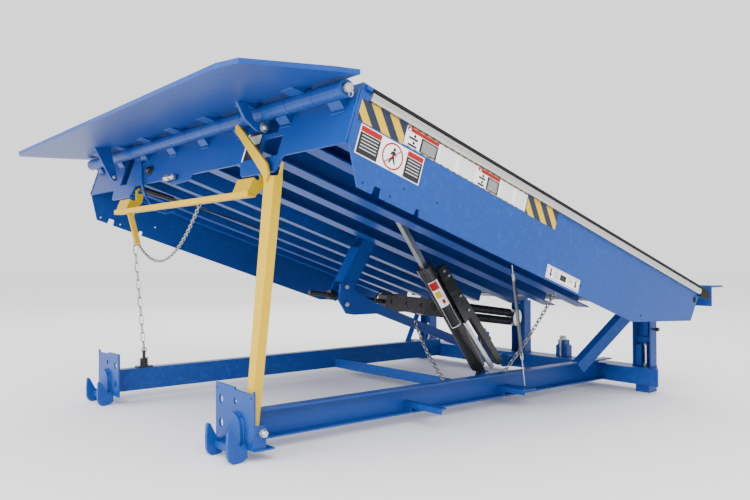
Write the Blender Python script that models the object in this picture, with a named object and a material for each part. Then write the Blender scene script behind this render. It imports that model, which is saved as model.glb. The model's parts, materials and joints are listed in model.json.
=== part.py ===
"""Mechanical pit dock leveler, held open on its maintenance strut.

Metres, +Z up, front (lip side) towards -Y, rear hinge towards +Y, right side +X. Every piece is
placed in the frame's own coordinates: y = 0 is the front face of the two front plates and z = 0 is
their lower edge. An empty carries the whole machine so that its box stands centred on the origin.
"""
import math

import bmesh
import bpy

# ---- driving dimensions -------------------------------------------------------------------------
UNIT_WIDTH = 1.829          # over the two deck skirts
REST_ANGLE = math.radians(18.23)   # deck slope while the strut holds it
HINGE_Y = 1.7045            # rear deck hinge
HINGE_Z = 0.3324
FRAME_LIFT = 0.032          # front plates' lower edge above the floor
PLATE = 0.006               # common sheet thickness
GAP = 0.0005                # running gap between neighbours

DECK_TOP = 0.062            # deck surface above the hinge axis
DECK_REAR = -0.010          # deck ends, as distances in front of the hinge axis
DECK_FRONT = 1.693
HEADER_DROP = -0.092        # header's lower edge
EAR_DROP = -0.135
EAR_IN = 0.421
EAR_OUT = 0.616
BEAM_DROP = -0.055
BEAMS_RIGHT = (0.055, 0.245, 0.416, 0.630, 0.770)   # webs; flanges turn outwards
BEAMS_LEFT = (0.130, 0.300, 0.480, 0.650, 0.800)

LIP_U = 1.726               # lip hinge axis in deck coordinates
LIP_V = 0.032
LIP_SLOPE = math.radians(21.1)     # lip below the deck plane at rest
LIP_LENGTH = 0.304
LIP_LOW = 0.026             # lip plate above the lip hinge axis
LIP_HIGH = 0.038
KNUCKLE_R = 0.0225
BORE_R = 0.0138
PIN_R = 0.0125
KNUCKLES = 15

RAIL_X = 0.470              # inner face of a rail's web
RAIL_FLANGE = 0.041
RAIL_LOW = 0.005
RAIL_TOP = 0.087
RAIL_END = 1.6995
PLATE_IN = 0.383
PLATE_OUT = 0.596
PLATE_TOP = 0.157

MEMBER_FRONT = 1.700        # rear cross-member
MEMBER_BACK = 1.800
MEMBER_TOP = 0.065
CURB_Y = 1.780
CURB_FLANGE = 0.092
CURB_TOP = 0.396
POST_X = (0.640, 0.0, -0.640)
POST_WIDTH = 0.080

STRUT_Y = 0.024             # foot bolt of the maintenance strut
STRUT_Z = 0.047
STRUT_TOP = 0.720

LEG_U = 1.668               # safety leg pins in deck coordinates
LEG_V = -0.108

LIFT_U = 0.900              # lifter's pin on the deck
LIFT_V = -0.045
LIFT_X = 0.010
LOWER_Y = 1.560             # lower lifter arm's pin on the frame
LOWER_Z = 0.055
KNEE_Y = 0.700
KNEE_Z = 0.360
SPRING_Y = 1.722            # rear pin of the counterbalance springs
SPRING_Z = 0.225

HOLD_X = 0.360
HOLD_Y = 1.120              # hold-down's base pin
HOLD_Z = 0.060
HOLD_U = 1.1084             # hold-down's bar end on the deck
HOLD_V = 0.020

# ---- derived ------------------------------------------------------------------------------------
SIN, COS = math.sin(REST_ANGLE), math.cos(REST_ANGLE)
HALF = UNIT_WIDTH / 2


def deck_to_frame(u, v):
    """Frame (y, z) of a point at distance u in front of the hinge and v above it, deck raised."""
    return HINGE_Y - u * COS + v * SIN, HINGE_Z + u * SIN + v * COS


LIP_WORLD = REST_ANGLE - LIP_SLOPE
FRONT_Y = deck_to_frame(LIP_U, LIP_V)[0] - LIP_LENGTH * math.cos(LIP_WORLD) + LIP_HIGH * math.sin(LIP_WORLD)
REAR_Y = CURB_Y + CURB_FLANGE
Y_MIDDLE = (FRONT_Y + REAR_Y) / 2
HOLD_TOP_Y, HOLD_TOP_Z = deck_to_frame(HOLD_U, HOLD_V)
LIFT_Y, LIFT_Z = deck_to_frame(LIFT_U, LIFT_V)
LEG_Y, LEG_Z = deck_to_frame(LEG_U, LEG_V)
HOLD_ANGLE = math.atan2(HOLD_TOP_Z - HOLD_Z, HOLD_Y - HOLD_TOP_Y)
HOLD_REACH = math.hypot(HOLD_TOP_Z - HOLD_Z, HOLD_Y - HOLD_TOP_Y)
SPRING_ANGLE = math.atan2(KNEE_Z - SPRING_Z, SPRING_Y - KNEE_Y)
SPRING_REACH = math.hypot(KNEE_Z - SPRING_Z, SPRING_Y - KNEE_Y)

# ---- scene and materials ------------------------------------------------------------------------
for old in list(bpy.data.objects):
    bpy.data.objects.remove(old, do_unlink=True)

scene_objects = bpy.context.scene.collection
helpers = bpy.data.collections.new("cutters")
scene_objects.children.link(helpers)


def material(name, colour, roughness, metallic):
    made = bpy.data.materials.new(name)
    made.use_nodes = True
    shader = made.node_tree.nodes["Principled BSDF"]
    shader.inputs["Base Color"].default_value = (*colour, 1)
    shader.inputs["Roughness"].default_value = roughness
    shader.inputs["Metallic"].default_value = metallic
    return made


BLUE = material("blue_paint", (0.022, 0.135, 0.48), 0.38, 0.0)
YELLOW = material("yellow_paint", (0.90, 0.56, 0.02), 0.40, 0.0)
BLACK = material("black_paint", (0.012, 0.012, 0.013), 0.35, 0.0)
ZINC = material("zinc_plate", (0.62, 0.62, 0.60), 0.30, 1.0)
ALUMINIUM = material("aluminium", (0.55, 0.55, 0.54), 0.35, 1.0)
RUBBER = material("rubber", (0.015, 0.015, 0.016), 0.75, 0.0)


def empty(name, parent, location, tilt=0.0):
    made = bpy.data.objects.new(name, None)
    made.parent = parent
    made.location = location
    made.rotation_euler = (tilt, 0, 0)
    scene_objects.objects.link(made)
    return made


machine = empty("machine", None, (0, -Y_MIDDLE, FRAME_LIFT))
deck_axis = empty("deck_axis", machine, (0, HINGE_Y, HINGE_Z), -REST_ANGLE)
lip_axis = empty("lip_axis", deck_axis, (0, -LIP_U, LIP_V), LIP_SLOPE)
leg_axis = empty("leg_axis", deck_axis, (0, -LEG_U, LEG_V), REST_ANGLE)
upper_axis = empty("upper_lifter_axis", deck_axis, (0, -LIFT_U, LIFT_V), REST_ANGLE)
guide_axis = empty("guide_axis", deck_axis, (0, -DECK_FRONT, EAR_DROP), REST_ANGLE)
strut_axis = empty("strut_axis", machine, (0, STRUT_Y, STRUT_Z))
lower_axis = empty("lower_lifter_axis", machine, (0, LOWER_Y, LOWER_Z))
spring_axis = empty("spring_axis", machine, (LIFT_X, SPRING_Y, SPRING_Z), -SPRING_ANGLE)
hold_axis = empty("hold_axis", machine, (HOLD_X, HOLD_Y, HOLD_Z), -HOLD_ANGLE)


# ---- mesh shapes --------------------------------------------------------------------------------
def box(lo, hi):
    """Closed cuboid between two corners, as (points, faces)."""
    (x0, y0, z0), (x1, y1, z1) = lo, hi
    points = [(x0, y0, z0), (x1, y0, z0), (x1, y1, z0), (x0, y1, z0),
              (x0, y0, z1), (x1, y0, z1), (x1, y1, z1), (x0, y1, z1)]
    faces = [(3, 2, 1, 0), (4, 5, 6, 7), (0, 1, 5, 4), (1, 2, 6, 5), (2, 3, 7, 6), (3, 0, 4, 7)]
    return points, faces


def area(outline):
    return sum(a[0] * b[1] - b[0] * a[1] for a, b in zip(outline, outline[1:] + outline[:1])) / 2


def prism(outline, low, high, axis):
    """An outline extruded from low to high: (y, z) along x, (x, z) along y or (x, y) along z."""
    place = {"x": lambda a, b, t: (t, a, b), "y": lambda a, b, t: (a, t, b),
             "z": lambda a, b, t: (a, b, t)}[axis]
    outline = list(outline)
    if (area(outline) < 0) != (axis == "y"):
        outline.reverse()
    count = len(outline)
    points = [place(a, b, low) for a, b in outline] + [place(a, b, high) for a, b in outline]
    faces = [tuple(reversed(range(count))), tuple(range(count, 2 * count))]
    faces += [(i, (i + 1) % count, count + (i + 1) % count, count + i) for i in range(count)]
    return points, faces


def arc(centre, radius, start, end, steps):
    """Points of an arc in degrees, both ends included."""
    turn = [math.radians(start + (end - start) * i / steps) for i in range(steps + 1)]
    return [(centre[0] + radius * math.cos(t), centre[1] + radius * math.sin(t)) for t in turn]


def rod(centre, radius, low, high, axis, sides=16):
    """A round bar along an axis; centre is given on the two other axes."""
    return prism(arc(centre, radius, 0, 360 - 360 / sides, sides - 1), low, high, axis)


def joined(pieces):
    points, faces = [], []
    for piece_points, piece_faces in pieces:
        faces += [tuple(len(points) + i for i in face) for face in piece_faces]
        points += piece_points
    return points, faces


def mesh_of(name, piece):
    made = bpy.data.meshes.new(name)
    made.from_pydata(piece[0], [], piece[1])
    work = bmesh.new()
    work.from_mesh(made)
    bmesh.ops.recalc_face_normals(work, faces=work.faces)
    work.to_mesh(made)
    work.free()
    return made


def helper(name, piece, parent):
    made = bpy.data.objects.new(name, mesh_of(name, piece))
    made.parent = parent
    made.hide_render = True
    made.display_type = "WIRE"
    helpers.objects.link(made)
    return made


def solid(name, finish, parent, body, add=(), cut=(), smooth=False):
    """One named piece: a base shape, others welded on and others cut out, all in the parent's frame."""
    made = bpy.data.objects.new(name, mesh_of(name, body))
    made.parent = parent
    made.data.materials.append(finish)
    scene_objects.objects.link(made)
    for number, piece in enumerate(add):
        weld = made.modifiers.new(f"weld_{number}", "BOOLEAN")
        weld.operation = "UNION"
        weld.object = helper(f"{name}_add_{number}", piece, parent)
    if cut:
        bore = made.modifiers.new("cut", "BOOLEAN")
        bore.operation = "DIFFERENCE"
        bore.object = helper(f"{name}_cut", joined(cut), parent)
    if smooth:
        made.data.shade_smooth()
        made.data.set_sharp_from_angle(angle=math.radians(35))
    return made


def across(outline):
    """Deck outline points (u, v) turned into (y, z) of the deck's axis frame."""
    return [(-u, v) for u, v in outline]


SIDES = (("right", 1), ("left", -1))


def span(side, near, far):
    """Low and high x of a piece between two distances from the middle, on one side."""
    return (near, far) if side > 0 else (-far, -near)


# ---- base frame ---------------------------------------------------------------------------------
def rails():
    web = 0.005
    for word, side in SIDES:
        inner, outer = RAIL_X, RAIL_X + RAIL_FLANGE
        channel = [(inner, RAIL_LOW), (outer, RAIL_LOW), (outer, RAIL_LOW + web),
                   (inner + web, RAIL_LOW + web),
                   (inner + web, RAIL_TOP - web), (outer, RAIL_TOP - web), (outer, RAIL_TOP),
                   (inner, RAIL_TOP)]
        low, high = span(side, inner, outer)
        add = [box((low, RAIL_END - 0.02, RAIL_TOP - web), (high, RAIL_END + 0.040, RAIL_TOP))]
        if side > 0:
            for y, length, deep in ((0.622, 0.137, 0.024), (1.070, 0.090, 0.066)):
                angle = [(y, 0.022), (y + 0.005, 0.022), (y + 0.005, 0.035), (y + deep, 0.035),
                         (y + deep, 0.040),
                         (y, 0.040)]
                gusset = [(y + 0.001, RAIL_LOW + 0.003), (y + 0.001, 0.036), (y + 0.006, 0.036),
                          (y + 0.006, RAIL_LOW + 0.003)]
                add.append(prism(angle, inner + web / 2, outer + length, "x"))
                add.append(prism(gusset, inner + web / 2, outer - 0.004, "x"))
        solid(f"rail_{word}", BLUE, machine, prism([(side * x, z) for x, z in channel], PLATE + GAP,
                                                   RAIL_END, "y"),
              add=add)


def front_plates():
    for word, side in SIDES:
        face = [(PLATE_IN, 0.0), (PLATE_OUT, 0.0), (PLATE_OUT, 0.156), (PLATE_OUT - 0.005, 0.156),
                (PLATE_OUT - 0.008, 0.147), (0.494, 0.149), (0.488, PLATE_TOP - 0.002), (PLATE_IN, PLATE_TOP)]
        tab = [(0.0, 0.0), (0.037, 0.0), (0.037, 0.058), (0.031, 0.065), (0.0, 0.067)]
        low, high = span(side, PLATE_OUT - PLATE, PLATE_OUT)
        foot = span(side, PLATE_OUT - 0.060, PLATE_OUT + 0.006)
        holes = [rod((side * x, z), r, -0.02, 0.02, "y", sides)
                 for x, z, r, sides in ((0.4145, 0.113, 0.0120, 16), (0.4145, 0.047, 0.0120, 16),
                                        (0.496, 0.118, 0.0085, 12), (0.392, 0.141, 0.003, 8),
                                        (0.392, 0.016, 0.003, 8), (0.584, 0.137, 0.003, 8),
                                        (0.584, 0.014, 0.003, 8))]
        holes.append(rod((STRUT_Y, STRUT_Z), 0.0075, *span(side, 0.588, 0.70), "x", 12))
        solid(f"front_plate_{word}", BLUE, machine, prism([(side * x, z) for x, z in face], 0.0, PLATE, "y"),
              add=[prism(tab, low, high, "x"), box((foot[0], 0.0005, 0.0), (foot[1], 0.060, 0.0045))],
              cut=holes)


def lip_keepers():
    """Half-round boss in front of each plate, with two upright fingers and a web that catch the lip."""
    low = -FRAME_LIFT
    hook = [(-0.0005, 0.010), (-0.0005, low + 0.012), (-0.014, low + 0.004), (-0.030, low), (-0.042, low),
            (-0.052, low + 0.007), (-0.057, low + 0.020), (-0.058, 0.020), (-0.056, 0.052), (-0.052, 0.057),
            (-0.046, 0.055), (-0.034, 0.030), (-0.024, 0.013), (-0.012, 0.012), (-0.006, 0.016)]
    for word, side in SIDES:
        boss = [(0.462, 0.0)] + [(0.504 + 0.042 * math.cos(t), 0.049 + 0.042 * math.sin(t))
                                 for t in [math.pi * (1 - i / 12) for i in range(13)]] + [(0.546, 0.0)]
        boss[1] = (0.462, 0.049)
        fingers = [prism(hook, *span(side, x, x + 0.012), "x") for x in (0.432, 0.553)]
        web_low, web_high = span(side, 0.440, 0.556)
        solid(f"lip_keeper_{word}", BLUE, machine, prism([(side * x, z) for x, z in boss], -0.0125, -GAP,
                                                         "y"),
              add=[box((web_low, -0.036, -0.010), (web_high, -0.030, 0.009)),
                   box((web_low + 0.03, -0.030, 0.001), (web_high - 0.03, -0.006, 0.009)), *fingers])


def cross_members():
    """Mid member with the hold-down's clevis, and the rear channel with its two levelling jacks."""
    side = RAIL_X - GAP
    angle = [(1.030, 0.005), (1.080, 0.005), (1.080, 0.011), (1.036, 0.011), (1.036, 0.045), (1.030, 0.045)]
    clevis = [(1.074, 0.0055), (HOLD_Y + 0.026, 0.0055), (HOLD_Y + 0.020, HOLD_Z + 0.010),
              (HOLD_Y + 0.010, HOLD_Z + 0.018), (HOLD_Y - 0.010, HOLD_Z + 0.018),
              (HOLD_Y - 0.022, HOLD_Z + 0.008)]
    ears = [prism(clevis, HOLD_X + x - 0.003, HOLD_X + x + 0.003, "x") for x in (-0.0135, 0.0135)]
    solid("mid_cross_member", BLUE, machine, prism(angle, -side, side, "x"),
          add=[joined(ears), rod((HOLD_Y, HOLD_Z), 0.0062, HOLD_X - 0.021, HOLD_X + 0.021, "x", 12)])
    front, back, top, t = MEMBER_FRONT, MEMBER_BACK, MEMBER_TOP, 0.006
    channel = [(front, 0.0), (back, 0.0), (back, t), (front + t, t), (front + t, top - t), (back, top - t),
               (back, top), (front, top)]
    jacks = []
    for x in (0.240, -0.240):
        block = [(x - 0.030, top - 0.002), (x + 0.030, top - 0.002), (x + 0.030, 0.112), (x + 0.018, 0.118),
                 (x + 0.018, 0.137), (x - 0.018, 0.137), (x - 0.018, 0.118), (x - 0.030, 0.112)]
        jacks.append(prism(block, 1.762, 1.798, "y"))
    bolts = [rod((x, 1.780), 0.0085, 0.130, 0.150, "z", 8) for x in (0.240, -0.240)]
    mitres = [prism([(side * x, y) for x, y in ((0.741, front + t), (0.678, back + 0.002),
                                                (0.80, back + 0.01),
                                                (0.80, front - 0.01), (0.741, front - 0.01))], -0.01, 0.10,
                                                "z")
              for side in (1, -1)]
    solid("rear_cross_member", BLUE, machine, prism(channel, -0.740, 0.740, "x"),
          add=[joined(jacks), joined(bolts)], cut=mitres)
    for word, side in SIDES:
        low, high = span(side, 0.632, 0.690)
        solid(f"shim_stack_{word}", BLUE, machine, box((low, 1.722, -FRAME_LIFT), (high, 1.780, -GAP)))


def rear_posts():
    """Channel posts, open to the front, from the rear cross-member up to the curb angle's lugs."""
    front, back, t = 1.752, 1.798, 0.005
    for name, x in zip(("right", "centre", "left"), POST_X):
        low, high = x - POST_WIDTH / 2, x + POST_WIDTH / 2
        section = [(low, front), (low + t, front), (low + t, back - t), (high - t, back - t),
                   (high - t, front),
                   (high, front), (high, back), (low, back)]
        solid(f"rear_post_{name}", BLUE, machine, prism(section, MEMBER_TOP + GAP, 0.3055, "z"))


def curb_angle():
    """Rear curb angle with pairs of hinge lugs, and the deck's hinge pin."""
    t = 0.007
    leg = [(CURB_Y, 0.3185), (CURB_Y + t, 0.3185), (CURB_Y + t, CURB_TOP - t),
           (CURB_Y + CURB_FLANGE, CURB_TOP - t),
           (CURB_Y + CURB_FLANGE, CURB_TOP), (CURB_Y, CURB_TOP)]
    lug = [(CURB_Y + 0.004, 0.306), (CURB_Y + 0.004, 0.372), (CURB_Y - 0.020, 0.366),
           (HINGE_Y + 0.010, 0.3565),
           (HINGE_Y - 0.012, 0.3555), (HINGE_Y - 0.024, 0.342), (HINGE_Y - 0.026, 0.322),
           (HINGE_Y - 0.018, 0.306)]
    lugs = [prism(lug, x + d - 0.005, x + d + 0.005, "x") for x in POST_X for d in (-0.029, 0.029)]
    solid("curb_angle", BLUE, machine, prism(leg, -HALF, HALF, "x"), add=[joined(lugs)],
          cut=[rod((HINGE_Y, HINGE_Z), BORE_R, -0.8, 0.8, "x", 16)])
    solid("deck_hinge_pin", ZINC, machine, rod((HINGE_Y, HINGE_Z), PIN_R, -0.690, 0.690, "x", 16),
          smooth=True)


def braces():
    """Diagonal angle braces from the outside of the rails out and up to the outer posts."""
    foot, top, post = 1.497, 0.3045, MEMBER_FRONT + 0.0510
    face = [(foot, 0.0835), (foot + 0.023, 0.049), (post, 0.049 + 1.07 * (post - foot - 0.023)), (post, top),
            (foot + (top - 0.0835) / 1.07, top)]
    ledge = [(foot + 0.0050, 0.0888), (foot + 0.0110, 0.0888), (foot + 0.0110 + (top - 0.0888) / 1.07, top),
             (foot + 0.0050 + (top - 0.0888) / 1.07, top)]
    for word, side in SIDES:
        def leaning(piece):
            points, faces = piece
            return [(x + side * 0.49 * (y - foot), y, z) for x, y, z in points], faces
        solid(f"rear_brace_{word}", BLUE, machine, leaning(prism(face, *span(side, 0.5120, 0.5180), "x")),
              add=[leaning(prism(ledge, *span(side, 0.4820, 0.5150), "x"))])


def snubber():
    """Chain snubber on the left rail: a plate, a short spring barrel and an eye."""
    x, y, top = -0.492, 0.138, RAIL_TOP + GAP
    solid("chain_snubber", BLACK, machine, box((x - 0.018, y - 0.030, top),
                                               (x + 0.018, y + 0.030, top + 0.0055)),
          add=[rod((x, y), 0.013, top + 0.003, top + 0.034, "z", 12),
               rod((x, y), 0.006, top + 0.030, 0.150, "z", 10)])


# ---- deck ---------------------------------------------------------------------------------------
def deck_plate():
    """Deck sheet with its hinge lugs, the lifter's lugs and pin, and the hold-down's fork."""
    under = DECK_TOP - PLATE + 0.002
    hinge = [(-u, v) for u, v in ((0.058, under), (0.058, 0.004), (0.026, -0.020))]
    hinge += [(0.026 * math.sin(t), -0.026 * math.cos(t)) for t in [math.radians(a) for a in (-20, 10, 40,
                                                                                              70, 100)]]
    hinge.append((0.010, under))
    hinges = [prism(hinge, x - 0.0195, x + 0.0195, "x") for x in POST_X]
    lug = [(-u, v) for u, v in ((LIFT_U + 0.045, under), (LIFT_U + 0.018, LIFT_V - 0.012),
                                (LIFT_U + 0.006, LIFT_V - 0.019), (LIFT_U - 0.006, LIFT_V - 0.019),
                                (LIFT_U - 0.018, LIFT_V - 0.012), (LIFT_U - 0.045, under))]
    lugs = [prism(lug, LIFT_X + d - 0.003, LIFT_X + d + 0.003, "x") for d in (-0.036, 0.036)]
    fork = [(-u, v) for u, v in ((HOLD_U + 0.040, under), (HOLD_U + 0.016, HOLD_V - 0.012),
                                 (HOLD_U - 0.016, HOLD_V - 0.012), (HOLD_U - 0.040, under))]
    forks = [prism(fork, HOLD_X + d - 0.003, HOLD_X + d + 0.003, "x") for d in (-0.0155, 0.0155)]
    solid("deck_plate", BLUE, deck_axis, box((-HALF, -DECK_FRONT, DECK_TOP - PLATE),
                                             (HALF, -DECK_REAR, DECK_TOP)),
          add=[joined(hinges + lugs + forks),
               rod((-LIFT_U, LIFT_V), 0.0075, LIFT_X - 0.044, LIFT_X + 0.044, "x", 12)],
          cut=[rod((0, 0), BORE_R, -0.8, 0.8, "x", 16)])


def deck_beams():
    """Ten formed beams under the plate; their lower flanges turn outwards on both sides."""
    top, rear, front, t = DECK_TOP - PLATE - GAP, 0.062, DECK_FRONT - PLATE - GAP, 0.005
    for (word, side), webs, flange in zip(SIDES, (BEAMS_RIGHT, BEAMS_LEFT), (0.062, 0.040)):
        for number, web in enumerate(webs):
            section = [(web, BEAM_DROP), (web + flange, BEAM_DROP), (web + flange, BEAM_DROP + t),
                       (web + t, BEAM_DROP + t), (web + t, top), (web, top)]
            solid(f"deck_beam_{word}_{number + 1}", BLUE, deck_axis,
                  prism([(side * x, z) for x, z in section], -front, -rear, "y"))


def skirts():
    """Toe-guard plates on both sides, stepped at the front and cut back at the rear."""
    top = DECK_TOP - PLATE - GAP
    outline = [(DECK_FRONT, top), (DECK_FRONT - 0.001, -0.083), (1.633, -0.1815), (1.588, -0.1816),
               (1.585, -0.158),
               (1.563, -0.158), (1.560, -0.1817), (1.446, -0.1820), (1.443, -0.164), (1.429, -0.164),
               (1.426, -0.1820), (0.416, -0.183), (0.054, -0.081), (0.030, 0.010), (0.012, 0.030),
               (0.012, top)]
    holes = [(1.6217, -0.1663, 0.0035), (1.5326, -0.1669, 0.0035), (1.4953, -0.1322, 0.0035),
             (1.3797, -0.1256, 0.0035), (0.7301, -0.152, 0.0035), (0.379, -0.151, 0.0035),
             (0.052, 0.0, 0.012)]
    for word, side in SIDES:
        cuts = [rod((-u, v), r, *span(side, HALF - 0.03, HALF + 0.03), "x", 10) for u, v, r in holes]
        solid(f"side_skirt_{word}", BLUE, deck_axis, prism(across(outline), *span(side, HALF - PLATE, HALF),
                                                           "x"),
              cut=cuts)


def side_seals():
    """Aluminium weather-seal holders on the skirts, each with its rubber blade above."""
    for word, side in SIDES:
        profile = [(HALF + GAP, 0.0255), (HALF + 0.009, 0.0255), (HALF + 0.0125, 0.030),
                   (HALF + 0.0125, 0.044),
                   (HALF + 0.009, 0.048), (HALF + GAP, 0.048)]
        solid(f"seal_holder_{word}", ALUMINIUM, deck_axis,
              prism([(side * x, z) for x, z in profile], -1.665, -0.035, "y"))
        blade = [(-1.665, 0.0485), (-1.665, 0.0555), (0.018, 0.0555), (0.030, 0.050), (0.034, 0.038),
                 (0.030, 0.026),
                 (0.018, 0.020), (-0.030, 0.020), (-0.034, 0.0225), (-0.034, 0.0485)]
        solid(f"side_seal_{word}", RUBBER, deck_axis, prism(blade, *span(side, HALF + 0.001, HALF + 0.011),
                                                            "x"))


def knuckle_ranges(first):
    length = 2 * 0.902 / KNUCKLES
    return [(-0.902 + length * i + 0.0007, -0.902 + length * (i + 1) - 0.0007) for i in range(first,
                                                                                              KNUCKLES, 2)]


def header():
    """Front header: support ears, windows for the lip's lugs, hinge knuckles and the legs' hangers."""
    low, ear = HEADER_DROP, EAR_DROP
    half = HALF - PLATE - GAP
    right = [(0.400, low), (EAR_IN, ear + 0.006), (EAR_IN + 0.008, ear), (EAR_OUT - 0.015, ear)]
    right += arc((EAR_OUT - 0.015, ear + 0.015), 0.015, -67, 0, 3)
    right += arc((EAR_OUT + 0.024, low - 0.022), 0.022, 180, 90, 4)
    mirrored = [(-x, z) for x, z in reversed(right)]
    top = DECK_TOP - PLATE - GAP
    outline = [(-half, top), (-half, low)] + mirrored + right + [(half, low), (half, top)]
    tubes = [rod((-LIP_U, LIP_V), KNUCKLE_R, a, b, "x", 16) for a, b in knuckle_ranges(0)]
    pad = across([(1.690, 0.000), (1.697, 0.000), (1.714, 0.011), (1.722, 0.020), (1.722, 0.030),
                  (1.704, 0.036),
                  (1.690, 0.036)])
    pads = [prism(pad, (a + b) / 2 - 0.026, (a + b) / 2 + 0.026, "x") for a, b in knuckle_ranges(0)]
    hanger = across([(1.6885, -0.094), (1.6885, -0.122), (LEG_U + 0.006, -0.120), (LEG_U - 0.008, -0.119),
                     (LEG_U - 0.012, -0.108), (LEG_U - 0.008, -0.096)])
    hangers = [prism(hanger, x, x + 0.007, "x") for x in (0.488, -0.424)]
    pins = [rod((-LEG_U, LEG_V), 0.0070, *ends, "x", 12) for ends in ((0.4885, 0.5125), (-0.4235, -0.3965))]
    windows = [box((0.496, -1.698, -0.016), (0.568, -1.67, 0.046)),
               box((-0.568, -1.698, -0.078), (-0.500, -1.67, 0.046)),
               box((0.505, -1.698, -0.088), (0.600, -1.67, -0.029))]
    solid("header", BLUE, deck_axis, prism(outline, -DECK_FRONT, -DECK_FRONT + PLATE, "y"),
          add=[joined(pads), joined(tubes), joined(hangers), joined(pins)],
          cut=[rod((-LIP_U, LIP_V), BORE_R, -1.0, 1.0, "x", 16), *windows])
    solid("lip_hinge_pin", ZINC, deck_axis, rod((-LIP_U, LIP_V), PIN_R, -0.910, 0.910, "x", 16), smooth=True)


def strut_guide():
    """Bent yellow finger on the front of the right ear that guides the strut's head into place."""
    shape = [(0.594, -0.026), (0.606, -0.004), (0.592, 0.022), (0.4255, 0.146), (0.412, 0.149),
             (0.406, 0.140),
             (0.410, 0.130), (0.560, 0.006), (0.580, -0.014), (0.582, -0.026)]
    points, faces = prism(shape, -0.0165, -0.0100, "y")
    points = [(x, y + 0.075 * max(0.0, z), z) for x, y, z in points]
    solid("strut_guide", YELLOW, guide_axis, (points, faces))


# ---- lip ----------------------------------------------------------------------------------------
def lip():
    """Lip plate with its hinge knuckles, and the lugs below it; y is negative towards the lip's edge."""
    edge = [(-0.940, 0.013), (0.940, 0.013), (0.938, -0.060), (0.903, -LIP_LENGTH + 0.020),
            (0.838, -LIP_LENGTH),
            (-0.838, -LIP_LENGTH), (-0.903, -LIP_LENGTH + 0.020), (-0.938, -0.060)]
    tubes = [rod((0, 0), KNUCKLE_R, a, b, "x", 16) for a, b in knuckle_ranges(1)]
    pad = [(-0.050, 0.030), (0.006, 0.030), (0.006, 0.015), (-0.014, 0.012), (-0.050, 0.0235)]
    pads = [prism(pad, (a + b) / 2 - 0.028, (a + b) / 2 + 0.028, "x") for a, b in knuckle_ranges(1)]
    solid("lip_plate", BLUE, lip_axis, prism(edge, LIP_LOW, LIP_HIGH, "z"), add=[joined(pads), joined(tubes)],
          cut=[rod((0, 0), BORE_R, -1.0, 1.0, "x", 16)])
    under = LIP_LOW - GAP
    lug = [(-0.052, under), (-0.084, under), (-0.062, -0.020), (-0.026, -0.050), (0.008, -0.050),
           (0.010, -0.028),
           (-0.034, -0.025)]
    solid("lip_lug_right", BLUE, lip_axis, prism(lug, 0.514, 0.526, "x"),
          cut=[rod((-0.004, -0.0395), 0.005, 0.45, 0.6, "x", 10)])
    lever = [(-0.052, under), (-0.110, under), (-0.058, -0.086), (-0.046, -0.100), (-0.030, -0.096)]
    solid("lip_lever_left", BLUE, lip_axis, prism(lever, -0.545, -0.533, "x"),
          cut=[rod((-0.044, -0.084), 0.005, -0.6, -0.45, "x", 10)])


# ---- safety legs --------------------------------------------------------------------------------
def safety_legs():
    """Yellow leg frame hanging behind the two ears, with the short pull lever near its left end."""
    bar = [(-0.060, -0.081), (-0.034, -0.081), (-0.034, -0.076), (-0.055, -0.076), (-0.055, -0.064),
           (-0.060, -0.064)]
    arm = [(-0.058, -0.0800), (-0.034, -0.0805), (0.006, -0.042), (0.014, -0.012), (0.013, 0.006),
           (0.006, 0.0145),
           (-0.006, 0.0145), (-0.0140, 0.006), (-0.0145, -0.0310), (-0.0270, -0.0335), (-0.0345, -0.0275)]
    web = [(-0.060, -0.081), (-0.055, -0.081), (-0.0320, -0.0280), (-0.0365, -0.0260)]
    arms = [prism(arm, x, x + 0.008, "x") for x in (0.5010, -0.4090)]
    webs = [prism(web, low, high, "x") for low, high in ((0.4170, 0.5085), (-0.5050, -0.4015))]
    lever = [(-0.058, -0.079), (-0.038, -0.079), (-0.010, -0.190), (-0.012, -0.200), (-0.020, -0.203),
             (-0.027, -0.198)]
    solid("safety_leg_frame", YELLOW, leg_axis, prism(bar, -0.5050, 0.5150, "x"),
          add=[joined(webs), joined(arms), prism(lever, -0.3780, -0.3700, "x")],
          cut=[rod((0, 0), 0.0078, -0.7, 0.7, "x", 12), rod((-0.0185, -0.1935), 0.0040, -0.4, -0.35, "x", 8)])


# ---- maintenance strut --------------------------------------------------------------------------
def strut():
    """Leaning angle-section strut; its outer flange runs up past the ear as a pointed horn."""
    low, top = -0.0105, STRUT_TOP - STRUT_Z
    section = [(0.5270, -0.014), (0.5570, -0.014), (0.5570, 0.012), (0.5525, 0.012), (0.5525, -0.0095),
               (0.5270, -0.0095)]
    horn = [(0.0114, top - 0.030), (-0.0088, top - 0.030), (-0.0088, top - 0.004), (0.0020, top + 0.006),
            (0.0080, top + 0.037), (0.0114, top + 0.037)]

    def leaning(piece):
        points, faces = piece
        share = [max(0.0, z) / top for _, _, z in points]
        return [(x + (0.045 + 0.0222 * (x - 0.527) / 0.030) * t, y + 0.036 * t, z)
                for (x, y, z), t in zip(points, share)], faces

    solid("maintenance_strut", YELLOW, strut_axis, leaning(prism(section, low, top, "z")),
          add=[leaning(prism(horn, 0.5531, 0.5564, "x"))], cut=[rod((0, 0), 0.0075, 0.50, 0.65, "x", 12)])
    solid("strut_bolt", ZINC, strut_axis, rod((0, 0), 0.0063, 0.5450, 0.6000, "x", 12),
          add=[rod((0, 0), 0.0120, 0.5965, 0.6045, "x", 6)])


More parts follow.
